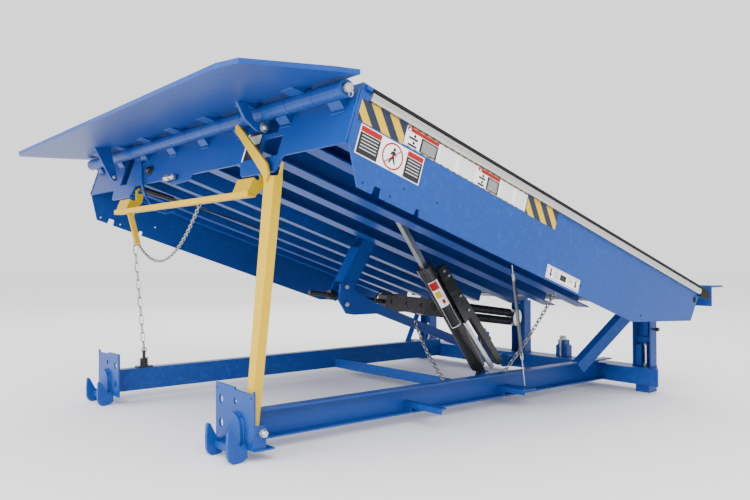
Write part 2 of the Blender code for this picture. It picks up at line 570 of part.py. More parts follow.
# ---- counterbalance -----------------------------------------------------------------------------
def lifter():
    """Upper arm hung from the deck, lower arm on the frame and the lug that carries it."""
    dy, dz = KNEE_Y - LIFT_Y, KNEE_Z - LIFT_Z
    reach = math.hypot(dy, dz)
    ay, az = dy / reach, dz / reach
    by, bz = -az, ay

    def along(points):
        return [(ay * a + by * b, az * a + bz * b) for a, b in points]

    cheek = along([(-0.016, -0.012), (-0.016, 0.014), (0.010, 0.026), (reach - 0.060, 0.030),
                   (reach - 0.010, 0.030),
                   (reach + 0.016, 0.014), (reach + 0.016, -0.012), (reach - 0.010, -0.028), (0.060, -0.036),
                   (0.010, -0.026)])
    side = LIFT_X + 0.0300
    web = along([(0.050, -0.036), (0.050, -0.030), (reach - 0.046, -0.024), (reach - 0.046, -0.0315)])
    cheeks = [prism(cheek, side - 0.006, side, "x")]
    solid("upper_lifter_arm", BLUE, upper_axis, prism(cheek, LIFT_X - 0.0300, LIFT_X - 0.0240, "x"),
          add=[prism(web, LIFT_X - 0.0270, side - 0.003, "x"), *cheeks],
          cut=[rod((0, 0), 0.0085, -0.1, 0.1, "x", 12)])

    ky, kz = KNEE_Y - LOWER_Y, KNEE_Z - LOWER_Z
    arm = [(0.018, -0.010), (0.016, 0.012), (0.0, 0.019), (-0.700, 0.272), (ky + 0.060, kz + 0.010),
           (ky + 0.028, kz + 0.052), (ky + 0.002, kz + 0.058), (ky - 0.018, kz + 0.046),
           (ky - 0.026, kz - 0.014),
           (ky + 0.010, kz - 0.066), (ky + 0.045, kz - 0.072), (-0.700, 0.232), (0.0, -0.019)]
    low, high = LIFT_X + 0.0306, LIFT_X + 0.0406
    heads = [rod((ky + dy2, kz + dz2), 0.0085, high - 0.002, high + 0.006, "x", 6)
             for dy2, dz2 in ((0.004, 0.036), (0.004, -0.030))]
    solid("lower_lifter_arm", BLUE, lower_axis, prism(arm, low, high, "x"), add=[joined(heads)],
          cut=[rod((0, 0), 0.0085, 0.0, 0.1, "x", 12)])
    plate = [(-0.018, -0.014), (-0.018, 0.010), (-0.008, 0.018), (0.012, 0.018), (0.060, 0.004),
             (MEMBER_FRONT - LOWER_Y - GAP, 0.004), (MEMBER_FRONT - LOWER_Y - GAP, -0.040), (0.020, -0.040)]
    solid("lifter_base", BLUE, lower_axis, prism(plate, high + 0.0010, high + 0.0090, "x"),
          add=[rod((0, 0), 0.0075, low - 0.004, high + 0.006, "x", 12)])


def spring_pack():
    """Threaded rod and yoke, the pair of coil springs behind them and their rear anchor."""
    head = SPRING_REACH
    yoke = [(-0.815, -0.024), (-0.815, 0.026), (-0.795, 0.034), (-0.740, 0.038), (-0.700, 0.032),
            (-0.580, 0.036),
            (-0.5095, 0.036), (-0.5095, -0.036), (-0.580, -0.036), (-0.690, -0.030), (-0.750, -0.036),
            (-0.800, -0.034)]
    solid("spring_rod", BLACK, spring_axis, rod((0, 0), 0.0085, -head - 0.135, -0.800, "y", 12),
          add=[prism(yoke, -0.026, 0.026, "x"), rod((0, 0), 0.0185, -head - 0.046, -head - 0.026, "y", 12)])
    for word, z in (("upper", 0.0195), ("lower", -0.0195)):
        solid(f"main_spring_{word}", BLACK, spring_axis, rod((0, z), 0.0190, -0.5090, -0.0390, "y", 14),
              smooth=True)
    disc = [(0.028 * math.cos(t), 0.038 * math.sin(t)) for t in [math.radians(22.5 * i) for i in range(16)]]
    solid("spring_anchor", ZINC, spring_axis, prism([(y - 0.010, z) for y, z in disc], -0.022, 0.022, "x"))


# ---- hold-down ----------------------------------------------------------------------------------
def hold_down():
    """Telescoping hold-down; y is negative towards the deck end of its ratchet bar."""
    reach = 0.511
    foot = [(-0.070, -0.014), (-0.004, -0.014), (0.010, -0.009), (0.014, 0.0), (0.010, 0.009),
            (-0.004, 0.014),
            (-0.070, 0.014)]
    solid("hold_down_tube", BLACK, hold_axis, rod((0, 0), 0.0275, -reach + 0.030, -0.044, "y", 20),
          add=[rod((0, 0), 0.0310, -reach, -reach + 0.045, "y", 20), prism(foot, -0.0090, 0.0090, "x")],
          cut=[box((-0.0110, -reach - 0.01, -0.0110), (0.0110, -0.085, 0.0110)),
               rod((0, 0), 0.0070, -0.1, 0.1, "x", 12)])
    plate = [(-0.470, 0.0315), (-0.468, 0.074), (-0.300, 0.081), (-0.235, 0.078), (-0.230, 0.0285),
             (-0.440, 0.0285)]
    lever = [(-0.300, 0.072), (-0.300, 0.094), (0.022, 0.112), (0.024, 0.086), (-0.200, 0.070)]
    solid("hold_down_bracket", BLACK, hold_axis, prism(plate, -0.021, 0.021, "x"),
          add=[prism(lever, -0.011, 0.011, "x")])
    release = [(-0.229, 0.0300), (-0.229, 0.0480), (0.010, 0.0640), (0.010, 0.0490)]
    solid("release_bar", ZINC, hold_axis, prism(release, -0.006, 0.006, "x"))
    solid("ratchet_bar", ZINC, hold_axis, box((-0.0100, -HOLD_REACH - 0.010, -0.0100),
                                              (0.0100, -HOLD_REACH + 0.470, 0.0100)))


# ---- chains and the return spring ---------------------------------------------------------------
def strand(name, finish, low, high, radius, sides=8):
    """A slack line's envelope: a thin leaning bar between two points of the frame."""
    (x0, y0, z0), (x1, y1, z1) = low, high
    points, faces = rod((0, 0), radius, 0.0, 1.0, "z", sides)
    points = [(x + x0 + (x1 - x0) * t, y + y0 + (y1 - y0) * t, z0 + (z1 - z0) * t) for x, y, t in points]
    solid(name, finish, machine, (points, faces))


def lines():
    strand("rail_chain", ZINC, (0.492, 1.090, RAIL_TOP + 0.001), (0.545, 1.320, 0.372), 0.0045)
    strand("lifter_chain", ZINC, (0.478, 0.800, RAIL_TOP + 0.001), (0.190, 0.930, 0.262), 0.0045)
    strand("return_spring", ZINC, (0.555, 1.130, 0.0435), (0.555, 1.065, 0.478), 0.0070, 10)
    strand("snubber_chain", ZINC, (-0.492, 0.138, 0.152), (-0.545, 0.110, 0.690), 0.0050)


# ---- assembly -----------------------------------------------------------------------------------
rails()
front_plates()
lip_keepers()
cross_members()
rear_posts()
curb_angle()
braces()
snubber()
deck_plate()
deck_beams()
skirts()
side_seals()
header()
strut_guide()
lip()
safety_legs()
strut()
lifter()
spring_pack()
hold_down()
lines()
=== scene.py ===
import math

import bmesh
import bpy
from mathutils import Matrix, Vector
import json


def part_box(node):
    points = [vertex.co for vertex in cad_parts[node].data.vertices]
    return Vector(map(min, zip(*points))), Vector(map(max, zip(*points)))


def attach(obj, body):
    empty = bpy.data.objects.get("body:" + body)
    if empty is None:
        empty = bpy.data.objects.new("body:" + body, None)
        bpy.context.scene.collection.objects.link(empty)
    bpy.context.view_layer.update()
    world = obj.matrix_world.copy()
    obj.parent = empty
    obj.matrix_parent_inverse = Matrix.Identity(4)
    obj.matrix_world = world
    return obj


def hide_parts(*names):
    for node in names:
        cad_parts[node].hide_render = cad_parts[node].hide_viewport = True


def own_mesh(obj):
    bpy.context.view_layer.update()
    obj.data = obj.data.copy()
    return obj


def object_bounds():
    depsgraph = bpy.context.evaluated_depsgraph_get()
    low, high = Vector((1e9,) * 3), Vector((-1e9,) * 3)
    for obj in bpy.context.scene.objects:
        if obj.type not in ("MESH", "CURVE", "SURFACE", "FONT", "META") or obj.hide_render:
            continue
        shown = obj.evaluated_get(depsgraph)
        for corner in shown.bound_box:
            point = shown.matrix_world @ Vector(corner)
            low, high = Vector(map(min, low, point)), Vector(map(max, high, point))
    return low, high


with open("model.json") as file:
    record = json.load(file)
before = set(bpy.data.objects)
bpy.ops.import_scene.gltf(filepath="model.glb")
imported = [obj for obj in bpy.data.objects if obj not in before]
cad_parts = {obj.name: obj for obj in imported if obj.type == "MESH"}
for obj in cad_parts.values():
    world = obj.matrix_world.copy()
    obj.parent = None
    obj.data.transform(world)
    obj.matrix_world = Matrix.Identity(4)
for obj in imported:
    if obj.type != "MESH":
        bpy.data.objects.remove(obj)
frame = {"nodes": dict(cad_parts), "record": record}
cad_box = [[float(v) for v in corner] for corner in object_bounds()]

# ---- places, in metres --------------------------------------------------------------------------
ORIGIN = Vector((0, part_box("front_plate_right")[0][1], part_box("front_plate_right")[0][2]))
HALF = 0.9145  # half the width over the skirts
SLOPE = 18.23  # degrees: the raised deck
LIP_DROP = 21.1  # degrees: the lip below the deck
TILT = math.radians(SLOPE)
HINGE = Vector((0, 1.7045, 0.3324))  # the deck's hinge line
LIP_U, LIP_V = 1.726, 0.032  # the lip's hinge line on the deck
LIP_TILT = math.radians(SLOPE - LIP_DROP)
HEADER_FACE = 1.6935  # u of the header's front
HOLD_X, HOLD_U, HOLD_V = 0.360, 1.1084, 0.020  # the hold-down's upper pivot on the deck
SPRING_REACH, SPRING_RISE = 1.722 - 0.700, 0.360 - 0.225  # from the yoke's pivot to the springs' anchor
SIDES = (("right", 1), ("left", -1))
POSTS = (("right", 0.640), ("left", -0.640))
OUT, FRONT, UP = Vector((1, 0, 0)), Vector((0, -1, 0)), Vector((0, 0, 1))
WORLD = Matrix.Identity(4)


def at(x, y, z):
    """A point given from the front face and lower edge of the front plates."""
    return Vector((x, y, z)) + ORIGIN


def on_deck(x, u, v):
    """A point of the raised deck: u in front of the rear hinge, v above it."""
    y = HINGE.y - u * math.cos(TILT) + v * math.sin(TILT)
    z = HINGE.z + u * math.sin(TILT) + v * math.cos(TILT)
    return at(x, y, z)


DECK = Matrix.Translation(at(0, HINGE.y, HINGE.z)) @ Matrix.Rotation(-TILT, 4, "X")
LIP = Matrix.Translation(on_deck(0, LIP_U, LIP_V)) @ Matrix.Rotation(-LIP_TILT, 4, "X")
BASE = Matrix.Translation(ORIGIN)
HOLD_TOP = on_deck(HOLD_X, HOLD_U, HOLD_V)
HOLD_FOOT = at(HOLD_X, 1.120, 0.060)
HOLD_TILT = math.atan2(HOLD_TOP.z - HOLD_FOOT.z, HOLD_FOOT.y - HOLD_TOP.y)
HOLD = Matrix.Translation(HOLD_FOOT) @ Matrix.Rotation(-HOLD_TILT, 4, "X")
SPRING_FOOT = at(0.010, 1.722, 0.225)
SPRING_TILT = math.atan2(SPRING_RISE, SPRING_REACH)
SPRING = Matrix.Translation(SPRING_FOOT) @ Matrix.Rotation(-SPRING_TILT, 4, "X")


# ---- camera -------------------------------------------------------------------------------------
def camera():
    """A camera at the photograph's viewing angle."""
    data = bpy.data.cameras.new("camera")
    data.lens, data.sensor_width = 35.52, 36.0
    made = bpy.data.objects.new("camera", data)
    made.location = at(2.293, -0.964, 0.501)
    turn, rise, roll = math.radians(51.08), math.radians(0.69), math.radians(-0.15)
    level = math.cos(rise)
    forward = Vector((-math.sin(turn) * level, math.cos(turn) * level, math.sin(rise)))
    aim = forward.to_track_quat("-Z", "Y").to_matrix()
    made.rotation_euler = (aim @ Matrix.Rotation(roll, 3, "Z")).to_euler()
    bpy.context.scene.collection.objects.link(made)
    bpy.context.scene.camera = made


camera()


# ---- materials ----------------------------------------------------------------------------------
def node(tree, kind, **settings):
    """A shader node with its inputs or settings filled in."""
    made = tree.nodes.new(kind)
    for key, value in settings.items():
        if key in made.inputs:
            made.inputs[key].default_value = value
        else:
            setattr(made, key, value)
    return made


def shader_of(name, colour, roughness, metallic=0.0, coat=0.0):
    """A new material with its tree and its shader."""
    made = bpy.data.materials.new(name)
    made.use_nodes = True
    tree = made.node_tree
    shader = tree.nodes["Principled BSDF"]
    shader.inputs["Base Color"].default_value = (*colour, 1)
    shader.inputs["Roughness"].default_value = roughness
    shader.inputs["Metallic"].default_value = metallic
    shader.inputs["Coat Weight"].default_value = coat
    shader.inputs["Coat Roughness"].default_value = 0.12
    shader.inputs["Specular IOR Level"].default_value = 0.28
    return made, tree, shader


def enamel(name, colour, worn, roughness, coat, mottle):
    """Sprayed enamel: orange peel, soft variation in tone, dust in the roughness and rubbed high spots."""
    made, tree, shader = shader_of(name, colour, roughness, coat=coat)
    place = node(tree, "ShaderNodeTexCoord")
    broad = node(tree, "ShaderNodeTexNoise", Scale=2.2, Detail=2.0, Roughness=0.5)
    fine = node(tree, "ShaderNodeTexNoise", Scale=420.0, Detail=2.0, Roughness=0.5)
    scuff = node(tree, "ShaderNodeTexNoise", Scale=46.0, Detail=8.0, Roughness=0.72)
    for texture in (broad, fine, scuff):
        tree.links.new(place.outputs["Object"], texture.inputs["Vector"])
    tone = node(tree, "ShaderNodeValToRGB")
    tone.color_ramp.elements[0].position = 0.30
    tone.color_ramp.elements[0].color = (*[c * (1 - mottle) for c in colour], 1)
    tone.color_ramp.elements[1].position = 0.72
    tone.color_ramp.elements[1].color = (*[min(1, c * (1 + mottle) + 0.004) for c in colour], 1)
    tree.links.new(broad.outputs["Fac"], tone.inputs["Fac"])
    edge = node(tree, "ShaderNodeNewGeometry")
    spots = node(tree, "ShaderNodeMath", operation="MULTIPLY")
    ramp = node(tree, "ShaderNodeValToRGB")
    ramp.color_ramp.elements[0].position, ramp.color_ramp.elements[1].position = 0.53, 0.60
    rub = node(tree, "ShaderNodeValToRGB")
    rub.color_ramp.elements[0].position, rub.color_ramp.elements[1].position = 0.50, 0.66
    tree.links.new(edge.outputs["Pointiness"], ramp.inputs["Fac"])
    tree.links.new(scuff.outputs["Fac"], rub.inputs["Fac"])
    tree.links.new(ramp.outputs["Color"], spots.inputs[0])
    tree.links.new(rub.outputs["Color"], spots.inputs[1])
    mix = node(tree, "ShaderNodeMix", data_type="RGBA")
    tree.links.new(spots.outputs[0], mix.inputs[0])
    tree.links.new(tone.outputs["Color"], mix.inputs[6])
    mix.inputs[7].default_value = (*worn, 1)
    tree.links.new(mix.outputs[2], shader.inputs["Base Color"])
    dull = node(tree, "ShaderNodeMapRange")
    dull.inputs["To Min"].default_value = roughness - 0.05
    dull.inputs["To Max"].default_value = roughness + 0.09
    tree.links.new(scuff.outputs["Fac"], dull.inputs["Value"])
    tree.links.new(dull.outputs["Result"], shader.inputs["Roughness"])
    bump = node(tree, "ShaderNodeBump", Strength=0.35, Distance=0.00012)
    tree.links.new(fine.outputs["Fac"], bump.inputs["Height"])
    tree.links.new(bump.outputs["Normal"], shader.inputs["Normal"])
    return made


def metal(name, colour, roughness, grain=(60, 60, 60), streak=0.06):
    """Plated or mill metal: fine grain along one direction and cloudy roughness."""
    made, tree, shader = shader_of(name, colour, roughness, metallic=1.0)
    place = node(tree, "ShaderNodeTexCoord")
    scale = node(tree, "ShaderNodeMapping")
    scale.inputs["Scale"].default_value = grain
    noise = node(tree, "ShaderNodeTexNoise", Scale=8.0, Detail=6.0, Roughness=0.65)
    cloud = node(tree, "ShaderNodeTexNoise", Scale=38.0, Detail=3.0, Roughness=0.6)
    tree.links.new(place.outputs["Object"], scale.inputs["Vector"])
    tree.links.new(scale.outputs["Vector"], noise.inputs["Vector"])
    tree.links.new(place.outputs["Object"], cloud.inputs["Vector"])
    tone = node(tree, "ShaderNodeValToRGB")
    tone.color_ramp.elements[0].position, tone.color_ramp.elements[1].position = 0.3, 0.75
    tone.color_ramp.elements[0].color = (*[c * (1 - 2 * streak) for c in colour], 1)
    tone.color_ramp.elements[1].color = (*[min(1, c * (1 + streak)) for c in colour], 1)
    tree.links.new(noise.outputs["Fac"], tone.inputs["Fac"])
    tree.links.new(tone.outputs["Color"], shader.inputs["Base Color"])
    dull = node(tree, "ShaderNodeMapRange")
    dull.inputs["To Min"].default_value = roughness - 0.10
    dull.inputs["To Max"].default_value = roughness + 0.14
    tree.links.new(cloud.outputs["Fac"], dull.inputs["Value"])
    tree.links.new(dull.outputs["Result"], shader.inputs["Roughness"])
    bump = node(tree, "ShaderNodeBump", Strength=0.25, Distance=0.00015)
    tree.links.new(noise.outputs["Fac"], bump.inputs["Height"])
    tree.links.new(bump.outputs["Normal"], shader.inputs["Normal"])
    return made


def rubber(name, colour):
    """Matt rubber with a fine pitted grain."""
    made, tree, shader = shader_of(name, colour, 0.7)
    place = node(tree, "ShaderNodeTexCoord")
    noise = node(tree, "ShaderNodeTexNoise", Scale=260.0, Detail=4.0, Roughness=0.7)
    tree.links.new(place.outputs["Object"], noise.inputs["Vector"])
    bump = node(tree, "ShaderNodeBump", Strength=0.5, Distance=0.0003)
    tree.links.new(noise.outputs["Fac"], bump.inputs["Height"])
    tree.links.new(bump.outputs["Normal"], shader.inputs["Normal"])
    dull = node(tree, "ShaderNodeMapRange")
    dull.inputs["To Min"].default_value, dull.inputs["To Max"].default_value = 0.55, 0.85
    tree.links.new(noise.outputs["Fac"], dull.inputs["Value"])
    tree.links.new(dull.outputs["Result"], shader.inputs["Roughness"])
    return made


def vinyl(name, colour):
    """Printed vinyl: even colour with a faint printed grain and a satin film."""
    made, tree, shader = shader_of(name, colour, 0.38)
    place = node(tree, "ShaderNodeTexCoord")
    noise = node(tree, "ShaderNodeTexNoise", Scale=900.0, Detail=2.0)
    tree.links.new(place.outputs["Object"], noise.inputs["Vector"])
    tone = node(tree, "ShaderNodeValToRGB")
    tone.color_ramp.elements[0].color = (*[c * 0.93 for c in colour], 1)
    tone.color_ramp.elements[1].color = (*[min(1, c * 1.04) for c in colour], 1)
    tree.links.new(noise.outputs["Fac"], tone.inputs["Fac"])
    tree.links.new(tone.outputs["Color"], shader.inputs["Base Color"])
    bump = node(tree, "ShaderNodeBump", Strength=0.15, Distance=0.00005)
    tree.links.new(noise.outputs["Fac"], bump.inputs["Height"])
    tree.links.new(bump.outputs["Normal"], shader.inputs["Normal"])
    return made


BLUE = enamel("blue_enamel", (0.001, 0.042, 0.240), (0.004, 0.070, 0.31), 0.40, 0.06, 0.02)
YELLOW = enamel("yellow_enamel", (0.60, 0.375, 0.0), (0.64, 0.41, 0.0), 0.45, 0.0, 0.04)
BLACK = enamel("black_enamel", (0.012, 0.012, 0.013), (0.05, 0.05, 0.05), 0.30, 0.3, 0.25)
ZINC = metal("zinc", (0.60, 0.60, 0.575), 0.34)
STEEL = metal("ground_steel", (0.50, 0.49, 0.46), 0.36, grain=(90, 6, 90))
CHAIN = metal("chain_zinc", (0.40, 0.39, 0.37), 0.30)
ALUMINIUM = metal("mill_aluminium", (0.58, 0.57, 0.56), 0.36, grain=(120, 2, 120))
GREY = metal("grey_spring_steel", (0.19, 0.20, 0.21), 0.42)
RUBBER = rubber("seal_rubber", (0.004, 0.004, 0.004))
WHITE_INK = vinyl("white_vinyl", (0.86, 0.86, 0.85))
BLACK_INK = vinyl("black_vinyl", (0.016, 0.016, 0.018))
NAVY_INK = vinyl("navy_vinyl", (0.014, 0.022, 0.050))
RED_INK = vinyl("red_vinyl", (0.34, 0.002, 0.002))
YELLOW_INK = vinyl("yellow_vinyl", (0.62, 0.39, 0.0))
GREY_INK = vinyl("grey_vinyl", (0.55, 0.56, 0.57))

FINISH = {"blue_paint": BLUE, "yellow_paint": YELLOW, "black_paint": BLACK, "zinc_plate": ZINC,
          "aluminium": ALUMINIUM, "rubber": RUBBER}
CHANGED = {"ratchet_bar": STEEL, "release_bar": ZINC}
for entry in frame["record"]["subparts"]:
    shown = frame["nodes"][entry["node"]]
    wanted = CHANGED.get(entry["node"], FINISH[entry["material_slot"]])
    if not shown.data.materials:
        shown.data.materials.append(wanted)
    for number in range(len(shown.material_slots)):
        shown.material_slots[number].material = wanted


# ---- shapes -------------------------------------------------------------------------------------
def piece(name, mesh, place, finish, body, smooth=35.0):
    """A new object of the model: mesh in its own place, riding on a body."""
    made = bpy.data.objects.new(name, mesh)
    made.matrix_world = place
    mesh.materials.append(finish)
    bpy.context.scene.collection.objects.link(made)
    if smooth:
        mesh.shade_smooth()
        mesh.set_sharp_from_angle(angle=math.radians(smooth))
    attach(made, body)
    return made


def mesh_from(name, work):
    """A mesh made from a working mesh, with its normals outwards."""
    bmesh.ops.recalc_face_normals(work, faces=work.faces)
    made = bpy.data.meshes.new(name)
    work.to_mesh(made)
    work.free()
    return made


def placed(name, work, finish, body, smooth=35.0):
    """A working mesh in world coordinates, made into a piece."""
    return piece(name, mesh_from(name, work), WORLD, finish, body, smooth)


def circle(steps):
    """The angles of evenly spaced points round a circle."""
    return [2 * math.pi * i / steps for i in range(steps)]


def add_prism(work, outline, low, high, axis):
    """An outline extruded between two levels, added to a working mesh."""
    spot = "xyz".index(axis)

    def corner(point, level):
        return (*point[:spot], level, *point[spot:])

    lower = [work.verts.new(corner(point, low)) for point in outline]
    upper = [work.verts.new(corner(point, high)) for point in outline]
    work.faces.new(lower)
    work.faces.new(list(reversed(upper)))
    for i in range(len(outline)):
        j = (i + 1) % len(outline)
        work.faces.new([lower[i], upper[i], upper[j], lower[j]])


def add_lathe(work, profile, place, steps=24):
    """A (distance along z, radius) profile turned about z, then placed."""
    rings = []
    for along, radius in profile:
        ring = []
        for i in range(steps):
            turn = 2 * math.pi * i / steps
            point = Vector((radius * math.cos(turn), radius * math.sin(turn), along))
            ring.append(work.verts.new(place @ point))
        rings.append(ring)
    for near, far in zip(rings, rings[1:]):
        for i in range(steps):
            j = (i + 1) % steps
            work.faces.new([near[i], near[j], far[j], far[i]])
    work.faces.new(rings[0])
    work.faces.new(list(reversed(rings[-1])))


def add_tube(work, path, radius, sides=8, closed=False):
    """A round bar along a list of points, with its section carried smoothly along."""
    count = len(path)
    rings, side = [], None
    for i, point in enumerate(path):
        ahead = path[(i + 1) % count] if closed or i < count - 1 else point
        behind = path[i - 1] if closed or i > 0 else point
        along = (ahead - behind).normalized()
        if side is None:
            side = along.orthogonal().normalized()
        side = (side - along * side.dot(along)).normalized()
        other = along.cross(side)
        ring = []
        for k in range(sides):
            turn = 2 * math.pi * k / sides
            across, over = side * (radius * math.cos(turn)), other * (radius * math.sin(turn))
            ring.append(work.verts.new(point + across + over))
        rings.append(ring)
    pairs = list(zip(rings, rings[1:]))
    if closed:
        pairs.append((rings[-1], rings[0]))
    for near, far in pairs:
        for k in range(sides):
            m = (k + 1) % sides
            work.faces.new([near[k], near[m], far[m], far[k]])
    if not closed:
        work.faces.new(list(reversed(rings[0])))
        work.faces.new(rings[-1])


def facing(point, direction):
    """A placement whose z axis points along direction."""
    return Matrix.Translation(point) @ direction.to_track_quat("Z", "Y").to_matrix().to_4x4()


def add_hex(work, place, across, height):
    """A hexagon head or nut with a turned chamfer on its outer face."""
    radius = across / math.sqrt(3)
    lower, upper, top = [], [], []
    for i in range(6):
        turn = math.pi * i / 3
        levels = ((lower, radius, 0.0), (upper, radius, height * 0.82), (top, radius * 0.84, height))
        for ring, r, z in levels:
            ring.append(work.verts.new(place @ Vector((r * math.cos(turn), r * math.sin(turn), z))))
    for near, far in ((lower, upper), (upper, top)):
        for i in range(6):
            j = (i + 1) % 6
            work.faces.new([near[i], near[j], far[j], far[i]])
    work.faces.new(list(reversed(lower)))
    work.faces.new(top)


def bolt(name, point, direction, across, body, finish=ZINC, washer=True):
    """A washer, a hexagon and the end of a stud, standing on a face."""
    work = bmesh.new()
    place = facing(point, direction)
    height = across * 0.55
    lift = 0.0
    if washer:
        lift = across * 0.12
        add_lathe(work, [(0.0, across * 0.95), (across * 0.10, across * 0.95), (lift, across * 0.90)], place)
    add_hex(work, place @ Matrix.Translation((0, 0, lift)), across, height)
    add_lathe(work, [(lift + height * 0.9, across * 0.30), (lift + height * 1.18, across * 0.30),
                     (lift + height * 1.26, across * 0.24)], place, 16)
    return placed(name, work, finish, body, 30)


def slab(name, outline, low, high, axis, place, finish, body, round_by=0.0):
    """An extruded outline as a piece, with its edges rounded if asked."""
    work = bmesh.new()
    add_prism(work, outline, low, high, axis)
    made = piece(name, mesh_from(name, work), place, finish, body, 30)
    if round_by:
        soften = made.modifiers.new("round", "BEVEL")
        soften.width, soften.segments, soften.limit_method = round_by, 2, "ANGLE"
        soften.harden_normals = False
    return made


# ---- softened edges on the sheet-metal nodes -----------------------------------------------------
SHARP = ("hold_down_tube", "main_spring", "deck_hinge_pin", "lip_hinge_pin", "spring_rod", "rail_chain",
         "lifter_chain", "snubber_chain", "return_spring")
for name, shown in frame["nodes"].items():
    if name.startswith(SHARP):
        continue
    soften = shown.modifiers.new("soft_edges", "BEVEL")
    soften.width, soften.segments, soften.limit_method = 0.0011, 2, "ANGLE"
    soften.angle_limit = math.radians(40)
for name in ("hold_down_tube", "deck_hinge_pin", "lip_hinge_pin", "spring_rod", "lip_plate", "header"):
    frame["nodes"][name].data.shade_smooth()
    frame["nodes"][name].data.set_sharp_from_angle(angle=math.radians(32))


# ---- chains and springs ---------------------------------------------------------------------------
def link_path(length, width, steps=5):
    """The centre line of one chain link, long in z."""
    half = (length - width) / 2
    points = []
    for i in range(steps * 2 + 1):
        turn = math.pi * i / (steps * 2)
        points.append(Vector((math.cos(turn) * width / 2, 0, half + math.sin(turn) * width / 2)))
    for i in range(steps * 2 + 1):
        turn = math.pi + math.pi * i / (steps * 2)
        points.append(Vector((math.cos(turn) * width / 2, 0, -half + math.sin(turn) * width / 2)))
    return points


def chain(name, route, wire, length, width, body):
    """Links strung along a route of points, each turned a quarter from the last."""
    spans = [(b - a).length for a, b in zip(route, route[1:])]
    total = sum(spans)
    pitch = length - 2 * wire
    count = max(2, int(round(total / pitch)))
    work = bmesh.new()
    for i in range(count):
        goal = total * (i + 0.5) / count
        index = 0
        while index < len(spans) - 1 and goal > spans[index]:
            goal -= spans[index]
            index += 1
        along = (route[index + 1] - route[index]).normalized()
        point = route[index] + along * goal
        place = facing(point, along) @ Matrix.Rotation(math.pi / 2 * (i % 2) + 0.35, 4, "Z")
        add_tube(work, [place @ p for p in link_path(length - wire, width - wire)], wire / 2, 6, True)
    return placed(name, work, CHAIN, body, 60), total


def sag(start, end, drop, steps=14):
    """A hanging line between two points, as a parabola."""
    return [start.lerp(end, i / steps) - Vector((0, 0, drop * 4 * (i / steps) * (1 - i / steps)))
            for i in range(steps + 1)]


def squashed(made):
    """A frame piece given a mesh of its own."""
    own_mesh(made)


rail_low, rail_high = at(0.492, 1.090, 0.090), at(0.545, 1.320, 0.372)
route = sag(rail_low, rail_high, 0.012)
rail_chain, rail_length = chain("rail_chain_links", route, 0.0042, 0.025, 0.0155, "frame")
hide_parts("rail_chain")
squashed(rail_chain)
lift_low, lift_high = at(0.478, 0.800, 0.091), at(0.190, 0.930, 0.262)
route = sag(lift_low, lift_high, 0.022)
lift_chain, lift_length = chain("lifter_chain_links", route, 0.0046, 0.027, 0.0165, "frame")
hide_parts("lifter_chain")
squashed(lift_chain)
snub_low, snub_high = at(-0.492, 0.138, 0.150), at(-0.545, 0.110, 0.690)
route = [snub_low, snub_high]
snub_chain, snub_length = chain("snubber_chain_links", route, 0.0045, 0.042, 0.0180, "frame")
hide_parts("snubber_chain")
squashed(snub_chain)
route = sag(at(0.208, 0.034, 0.668), at(-0.366, 0.068, 0.556), 0.110, 22)
hang_length = chain("leg_chain_links", route, 0.0032, 0.018, 0.0115, "legs")[1]


def coil(name, place, radius, wire, start, end, turns, body, finish, sides=6, steps=14):
    """A close-wound coil spring along -y of its place."""
    work = bmesh.new()
    path = []
    for i in range(turns * steps + 1):
        turn = 2 * math.pi * i / steps
        path.append(Vector((radius * math.cos(turn), start + (end - start) * i / (turns * steps),
                            radius * math.sin(turn))))
    add_tube(work, path, wire / 2, sides)
    return piece(name, mesh_from(name, work), place, finish, body, 50)


for word, z in (("upper", 0.0195), ("lower", -0.0195)):
    place = SPRING @ Matrix.Translation((0, 0, z))
    made = coil(f"main_spring_{word}_coil", place, 0.0150, 0.0075, -0.505, -0.042, 56, "springs", BLACK)
    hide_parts(f"main_spring_{word}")


def thread(name, place, radius, pitch, start, end, body, finish):
    """A raised thread ridge wound along -y of its place."""
    turns = int(abs(end - start) / pitch)
    return coil(name, place, radius, pitch * 0.62, start, end, turns, body, finish, 4, 10)


reach = math.hypot(SPRING_RISE, SPRING_REACH)
for word, start, end in (("front", -reach - 0.132, -reach - 0.048), ("rear", -reach - 0.022, -0.818)):
    thread(f"rod_thread_{word}", SPRING, 0.0082, 0.0042, start, end, "springs", BLACK)


def return_spring():
    """A thin coil between two rods with long eyes, from the rail to the deck."""
    low, high, keep = at(0.555, 1.130, 0.044), at(0.555, 1.065, 0.478), 0.56
    direction = (high - low).normalized()
    start, end = low.lerp(high, 0.27), low.lerp(high, 0.87)
    work = bmesh.new()
    add_tube(work, [low, low.lerp(high, 0.02), low.lerp(high, 0.235), low.lerp(high, 0.25)], 0.0022, 8)
    add_tube(work, [end, end.lerp(high, 0.5), high], 0.0018, 8)
    for share, length, width in ((0.245, 0.026, 0.011), (0.895, 0.030, 0.010)):
        eye = facing(low.lerp(high, share), direction)
        add_tube(work, [eye @ p for p in link_path(length, width)], 0.0016, 6, True)
    rods = placed("return_spring_rods", work, ZINC, "frame", 50)
    squashed(rods)
    work = bmesh.new()
    path, turns, steps, radius = [], 66, 10, 0.0056
    place = facing(start, direction)
    for i in range(turns * steps + 1):
        turn = 2 * math.pi * i / steps
        rise = (end - start).length * i / (turns * steps)
        path.append(place @ Vector((radius * math.cos(turn), radius * math.sin(turn), rise)))
    add_tube(work, path, 0.0017, 5)
    spring = placed("return_spring_coil", work, GREY, "frame", 60)
    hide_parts("return_spring")
    squashed(spring)


return_spring()


# ---- decals on the skirts and the hold-down -------------------------------------------------------
VINYL = 0.0003
GROUND_LIFT, BLOCK_LIFT, MARK_LIFT = 0.0002, 0.0006, 0.0009
LABEL_B_LOW, LABEL_B_HIGH, LABEL_B_TRIM = -0.0280, 0.0245, 0.0017


